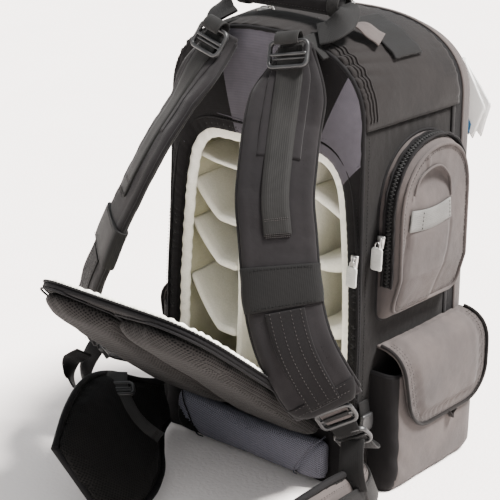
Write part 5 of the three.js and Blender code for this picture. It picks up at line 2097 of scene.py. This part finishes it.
def zip_slider(name, at, size, body, node, normal, down=(0, 0, -1)):
    """A die-cast slider: wedge-shaped body, raised bridge and a ring for the pull."""
    at, normal, down = np.array(at, float), unit(np.array(normal, float)), unit(np.array(down, float))
    across = np.cross(down, normal)
    wide, tall, deep = size
    path = [at + down * tall * t for t in np.linspace(-0.5, 0.5, 14)]
    frames = [(p, across, normal) for p in path]
    shell = sweep(name, frames, pillow(wide, deep, 18, 3.4), METAL,
                  scale=lambda s: (1 - 0.34 * s ** 1.5 if s < 0.98 else 0.5, tapered(s, 0.6, 4)))
    bridge = [at + down * (tall * 0.36 * math.cos(a)) + normal * (deep * 0.4 + 2.2 * math.sin(a))
              for a in np.linspace(0, math.pi, 16)]
    arch = sweep("bridge", frames_on(bridge, across), pillow(2.6, 1.3, 10, 3), METAL)
    merge(shell, [arch])
    place(shell, body, [node] if node else ())
    return at + normal * (deep * 0.5 + 1.3) + down * tall * 0.18


def pull_tab(name, top, size, body):
    """A ribbed tab on a short wire ring, for the CAD node that has its body's name."""
    normal, down = np.array([0, -1.0, 0]), np.array([0, 0, -1.0])
    across = np.cross(down, normal)
    wide, deep, tall = size
    frames = [(top + down * mix(4.5, tall + 2, t) + normal * 0.5 * math.sin(2 * t), across, normal)
              for t in np.linspace(0, 1, 44)]

    def ribs(s):
        rib = 0.82 + 0.18 * (math.sin(s * 62) > 0)
        return min(1, 0.72 + 3.2 * s, 0.8 + 3 * (1 - s)), rib * tapered(s, 0.6, 6)

    tab = sweep(name, frames, pillow(wide, deep, 20, 4), PLASTIC_GREY, scale=ribs)
    place(tab, body, [body])
    ring = [top + across * 2.6 * math.cos(a) + down * (2.8 + 3.6 * math.sin(a)) for a in whole_turn(24)]
    place(tube(f"{name}_ring", ring, 0.7, METAL, closed=True), body)


def middle_of(node):
    low, high = box_mm(node)
    return (low + high) / 2, high - low


def make_zip_pulls():
    for prefix, facing in (("side_zip", (0.25, -1, 0)), ("back_zip", (0, -1, 0))):
        centre = middle_of(f"{prefix}_slider")[0]
        zip_slider(f"{prefix}_slider_body", centre, (8.0, 13, 4.6), "bag", f"{prefix}_slider", facing)
        tab_centre, tab_size = middle_of(f"{prefix}_tab")
        top = tab_centre + np.array([0, 0, tab_size[2] / 2 + 3])
        size = (tab_size[0] - 0.5, 2.6, tab_size[2] - 1)
        pull_tab(f"{prefix}_pull", top, size, f"{prefix}_tab")
    for i, (x, y, angle) in enumerate(((-39, -38, 0.3), (-6, 62, 1.9))):
        z = flare(x, y, crown_height(x))[2]
        down = np.array([math.cos(angle), math.sin(angle), -0.05])
        top = zip_slider(f"top_slider_{i + 1}", (x, y, z + 3.5), (9, 14, 5), "bag", None, (0, 0, 1), down)
        for k, turn in enumerate((0.5, -0.7)):
            way = Matrix.Rotation(turn, 3, "Z") @ Vector(down)
            loop = [top + np.array(way) * (1 + 11 * s) + np.array([0, 0, 2.6 * math.sin(math.pi * s)])
                    for s in np.linspace(0, 1, 16)]
            place(tube(f"top_pull_{i + 1}_{k + 1}", loop, 1.1, METAL), "bag")


def crown_height(x):
    share = clamp(abs(x) / SEAM_HALF) ** CROWN_POWER
    return SEAM_Z + (CROWN_Z - SEAM_Z) * (1 - share) ** (1 / CROWN_POWER)


def make_top_zip():
    """The short zip over the crown behind the handle, where the two top sliders run."""
    path = []
    for x in np.linspace(-64, 30, 70):
        y = -40 + 5 * math.sin((x + 64) / 94 * math.pi)
        path.append(flare(x, y, crown_height(x) + 2.4))
    frames = frames_on(path, [0, 1.0, 0])
    frames = [(p, a, n if n[2] > 0 else -n) for p, a, n in frames]
    place(sweep("top_zip_tape", frames, strap_section(11, 1.2), BINDING), "bag")
    place(zip_coil("top_zip_coil", shifted(frames, 0, 1.1), width=4.2), "bag")


def make_tag():
    outline_points = [(82, 404), (98, 404), (127, 357), (114, 322), (90, 352)]
    low, high = box_mm("hang_tag")
    y = (low[1] + high[1]) / 2
    for i, (turn, shift) in enumerate(((0.0, 0.0), (-0.12, 1.4))):
        loop = resample(outline_points, 60, closed=True)
        pivot = np.array([90, 400])
        c, s = math.cos(turn), math.sin(turn)
        loop = pivot + (loop - pivot) @ np.array([[c, -s], [s, c]])
        centre = loop.mean(axis=0)
        curl = lambda share, x, z: y + shift + 1.6 * ((z - 360) / 45) ** 2 + 0.4 * lump(x, i, z, 30, 2.0)
        card = filled_loop(f"tag_card_{i + 1}", loop, curl, CARD, centre, rings=8)
        thicken(outward(card), 0.5, offset=0)
        place(card, "front_cover", ["hang_tag"] if i == 0 else ())
    strip = resample([(104, 350), (112, 338), (110, 326), (102, 338)], 40, closed=True)
    flat = lambda share, x, z: y - 0.9
    blue = filled_loop("tag_strip", strip, flat, CARD_BLUE, strip.mean(axis=0), rings=5)
    thicken(outward(blue), 0.5, offset=0)
    place(blue, "front_cover")
    loop = [(90, y, 399), (88, y - 2, 408), (84, y - 6, 416),
            (82, y - 8, 412), (86, y - 3, 404), (90, y, 399)]
    string = catmull(loop, 50)
    place(tube("tag_string", string, 0.5, THREAD_PALE, sides=6), "front_cover")


def make_side_straps():
    """The short compression straps between the bag's lower rear seam and the belt."""
    for suffix, side in SIDES:
        path = []
        for t in np.linspace(0, 1, 30):
            z = mix(100, 60, t)
            x = side_x(-78, z) + 3.0 + 3.2 * math.sin(math.pi * t)
            path.append((side * x, -79 - 2 * t, z))
        frames = frames_on(path, [0, 1.0, 0])
        place(sweep(f"side_strap_{suffix}", frames, strap_section(16, 1.8), WEB_BLACK), "bag")
        p, a, n = frames[15]
        n = n if n[0] * side > 0 else -n
        block = [(p + np.array([0, 0, dz]) + n * 2.2, a, n) for dz in np.linspace(9, -9, 12)]
        buckle = sweep(f"side_buckle_{suffix}", block, pillow(20, 5, 18, 4), PLASTIC,
                       scale=lambda s: (0.8 + 0.2 * math.sin(math.pi * s), tapered(s, 0.6, 4)))
        place(buckle, "bag")


# ---- Stage, camera and light ----

FLOOR_REACH = 25000
FLOOR_COLOUR = (0.90, 0.84, 0.81)
ROOM_COLOUR = (0.96, 0.98, 1.0, 1)
ROOM_LEVEL = 1.1
DAYLIGHT_FROM = (0.56, 0.34, 1.2)
DAYLIGHT_LEVEL = 19.0
DAYLIGHT_SPREAD = math.radians(16)
DAYLIGHT_COLOUR = (1.0, 0.975, 0.95)


def stage_material(name, colour, scale):
    n = Nodes(name, colour, 0.75, specular=0.2)
    mottle = n.noise(scale, 4)
    n.colour(n.ramp(mottle, [(0.3, scaled(colour, 0.97)), (0.7, colour)]))
    n.bump((n.noise(scale * 40, 3), 0.0006))
    return n.material


def make_stage():
    """A plain pale floor, wide enough to fill every view."""
    material = stage_material("stage_pale", FLOOR_COLOUR, 6)
    corners = [(x * FLOOR_REACH, y * FLOOR_REACH, 0) for x, y in ((-1, -1), (1, -1), (1, 1), (-1, 1))]
    new_object("floor", corners, [(0, 1, 2, 3)], material)


def make_light():
    """Soft daylight from the right, and a dim even room around it."""
    world = bpy.data.worlds.new("studio")
    bpy.context.scene.world = world
    world.use_nodes = True
    background = world.node_tree.nodes["Background"]
    background.inputs["Color"].default_value = ROOM_COLOUR
    background.inputs["Strength"].default_value = ROOM_LEVEL
    light = bpy.data.lights.new("daylight", "SUN")
    light.energy = DAYLIGHT_LEVEL
    light.angle = DAYLIGHT_SPREAD
    light.color = DAYLIGHT_COLOUR
    obj = bpy.data.objects.new("daylight", light)
    obj.rotation_euler = (-Vector(DAYLIGHT_FROM)).to_track_quat("-Z", "Y").to_euler()
    bpy.context.scene.collection.objects.link(obj)


CAMERA_TURN = math.radians(37.82)
CAMERA_RISE = math.radians(20.31)
CAMERA_ROLL = math.radians(-1.27)
CAMERA_DISTANCE = 1.49319
CAMERA_TARGET = np.array([0, 0, 0.23])
CAMERA_SLIDE = (-0.06441, -0.02328)
CAMERA_LENS = 103.54


def make_camera():
    a, e = CAMERA_TURN, CAMERA_RISE
    back = np.array([math.sin(a) * math.cos(e), -math.cos(a) * math.cos(e), math.sin(e)])
    right = np.array([math.cos(a), math.sin(a), 0])
    up = np.cross(back, right)
    c, s = math.cos(CAMERA_ROLL), math.sin(CAMERA_ROLL)
    x_axis, y_axis = c * right - s * up, s * right + c * up
    place_m = CAMERA_TARGET + CAMERA_SLIDE[0] * x_axis + CAMERA_SLIDE[1] * y_axis + CAMERA_DISTANCE * back
    camera = bpy.data.cameras.new("camera")
    camera.lens = CAMERA_LENS
    camera.sensor_width = 36
    obj = bpy.data.objects.new("camera", camera)
    rotation = Matrix(np.stack([x_axis, y_axis, back], axis=1).tolist()).to_4x4()
    obj.matrix_world = Matrix.Translation(Vector(place_m)) @ rotation
    bpy.context.scene.collection.objects.link(obj)
    bpy.context.scene.camera = obj


# ---- Build everything ----

make_camera()
make_back_panel()
make_yoke_seams()
for suffix, side in SIDES:
    make_side(suffix, side)
make_crown()
make_shell_seams()
make_corner_tape()
make_base()
make_bulkhead()
make_front()
make_front_zip()
make_rear_zip()
make_edging()
make_liner()
for key in DIVIDER_HEIGHTS:
    make_divider(key)
make_columns()
make_flap_panel()
make_flap_pads()
make_flap_edge()
make_flap_lining()
make_flap_hinge()
for suffix, side in SIDES:
    make_strap(suffix, side)
make_lumbar()
for suffix, side in SIDES:
    make_wing(suffix, side)
    make_upper_pocket(suffix, side)
    make_lower_pocket(suffix, side)
    make_pocket_flap(suffix, side)
make_handle()
make_crown_band()
make_zip_pulls()
make_top_zip()
make_tag()
make_side_straps()
make_stage()
make_light()
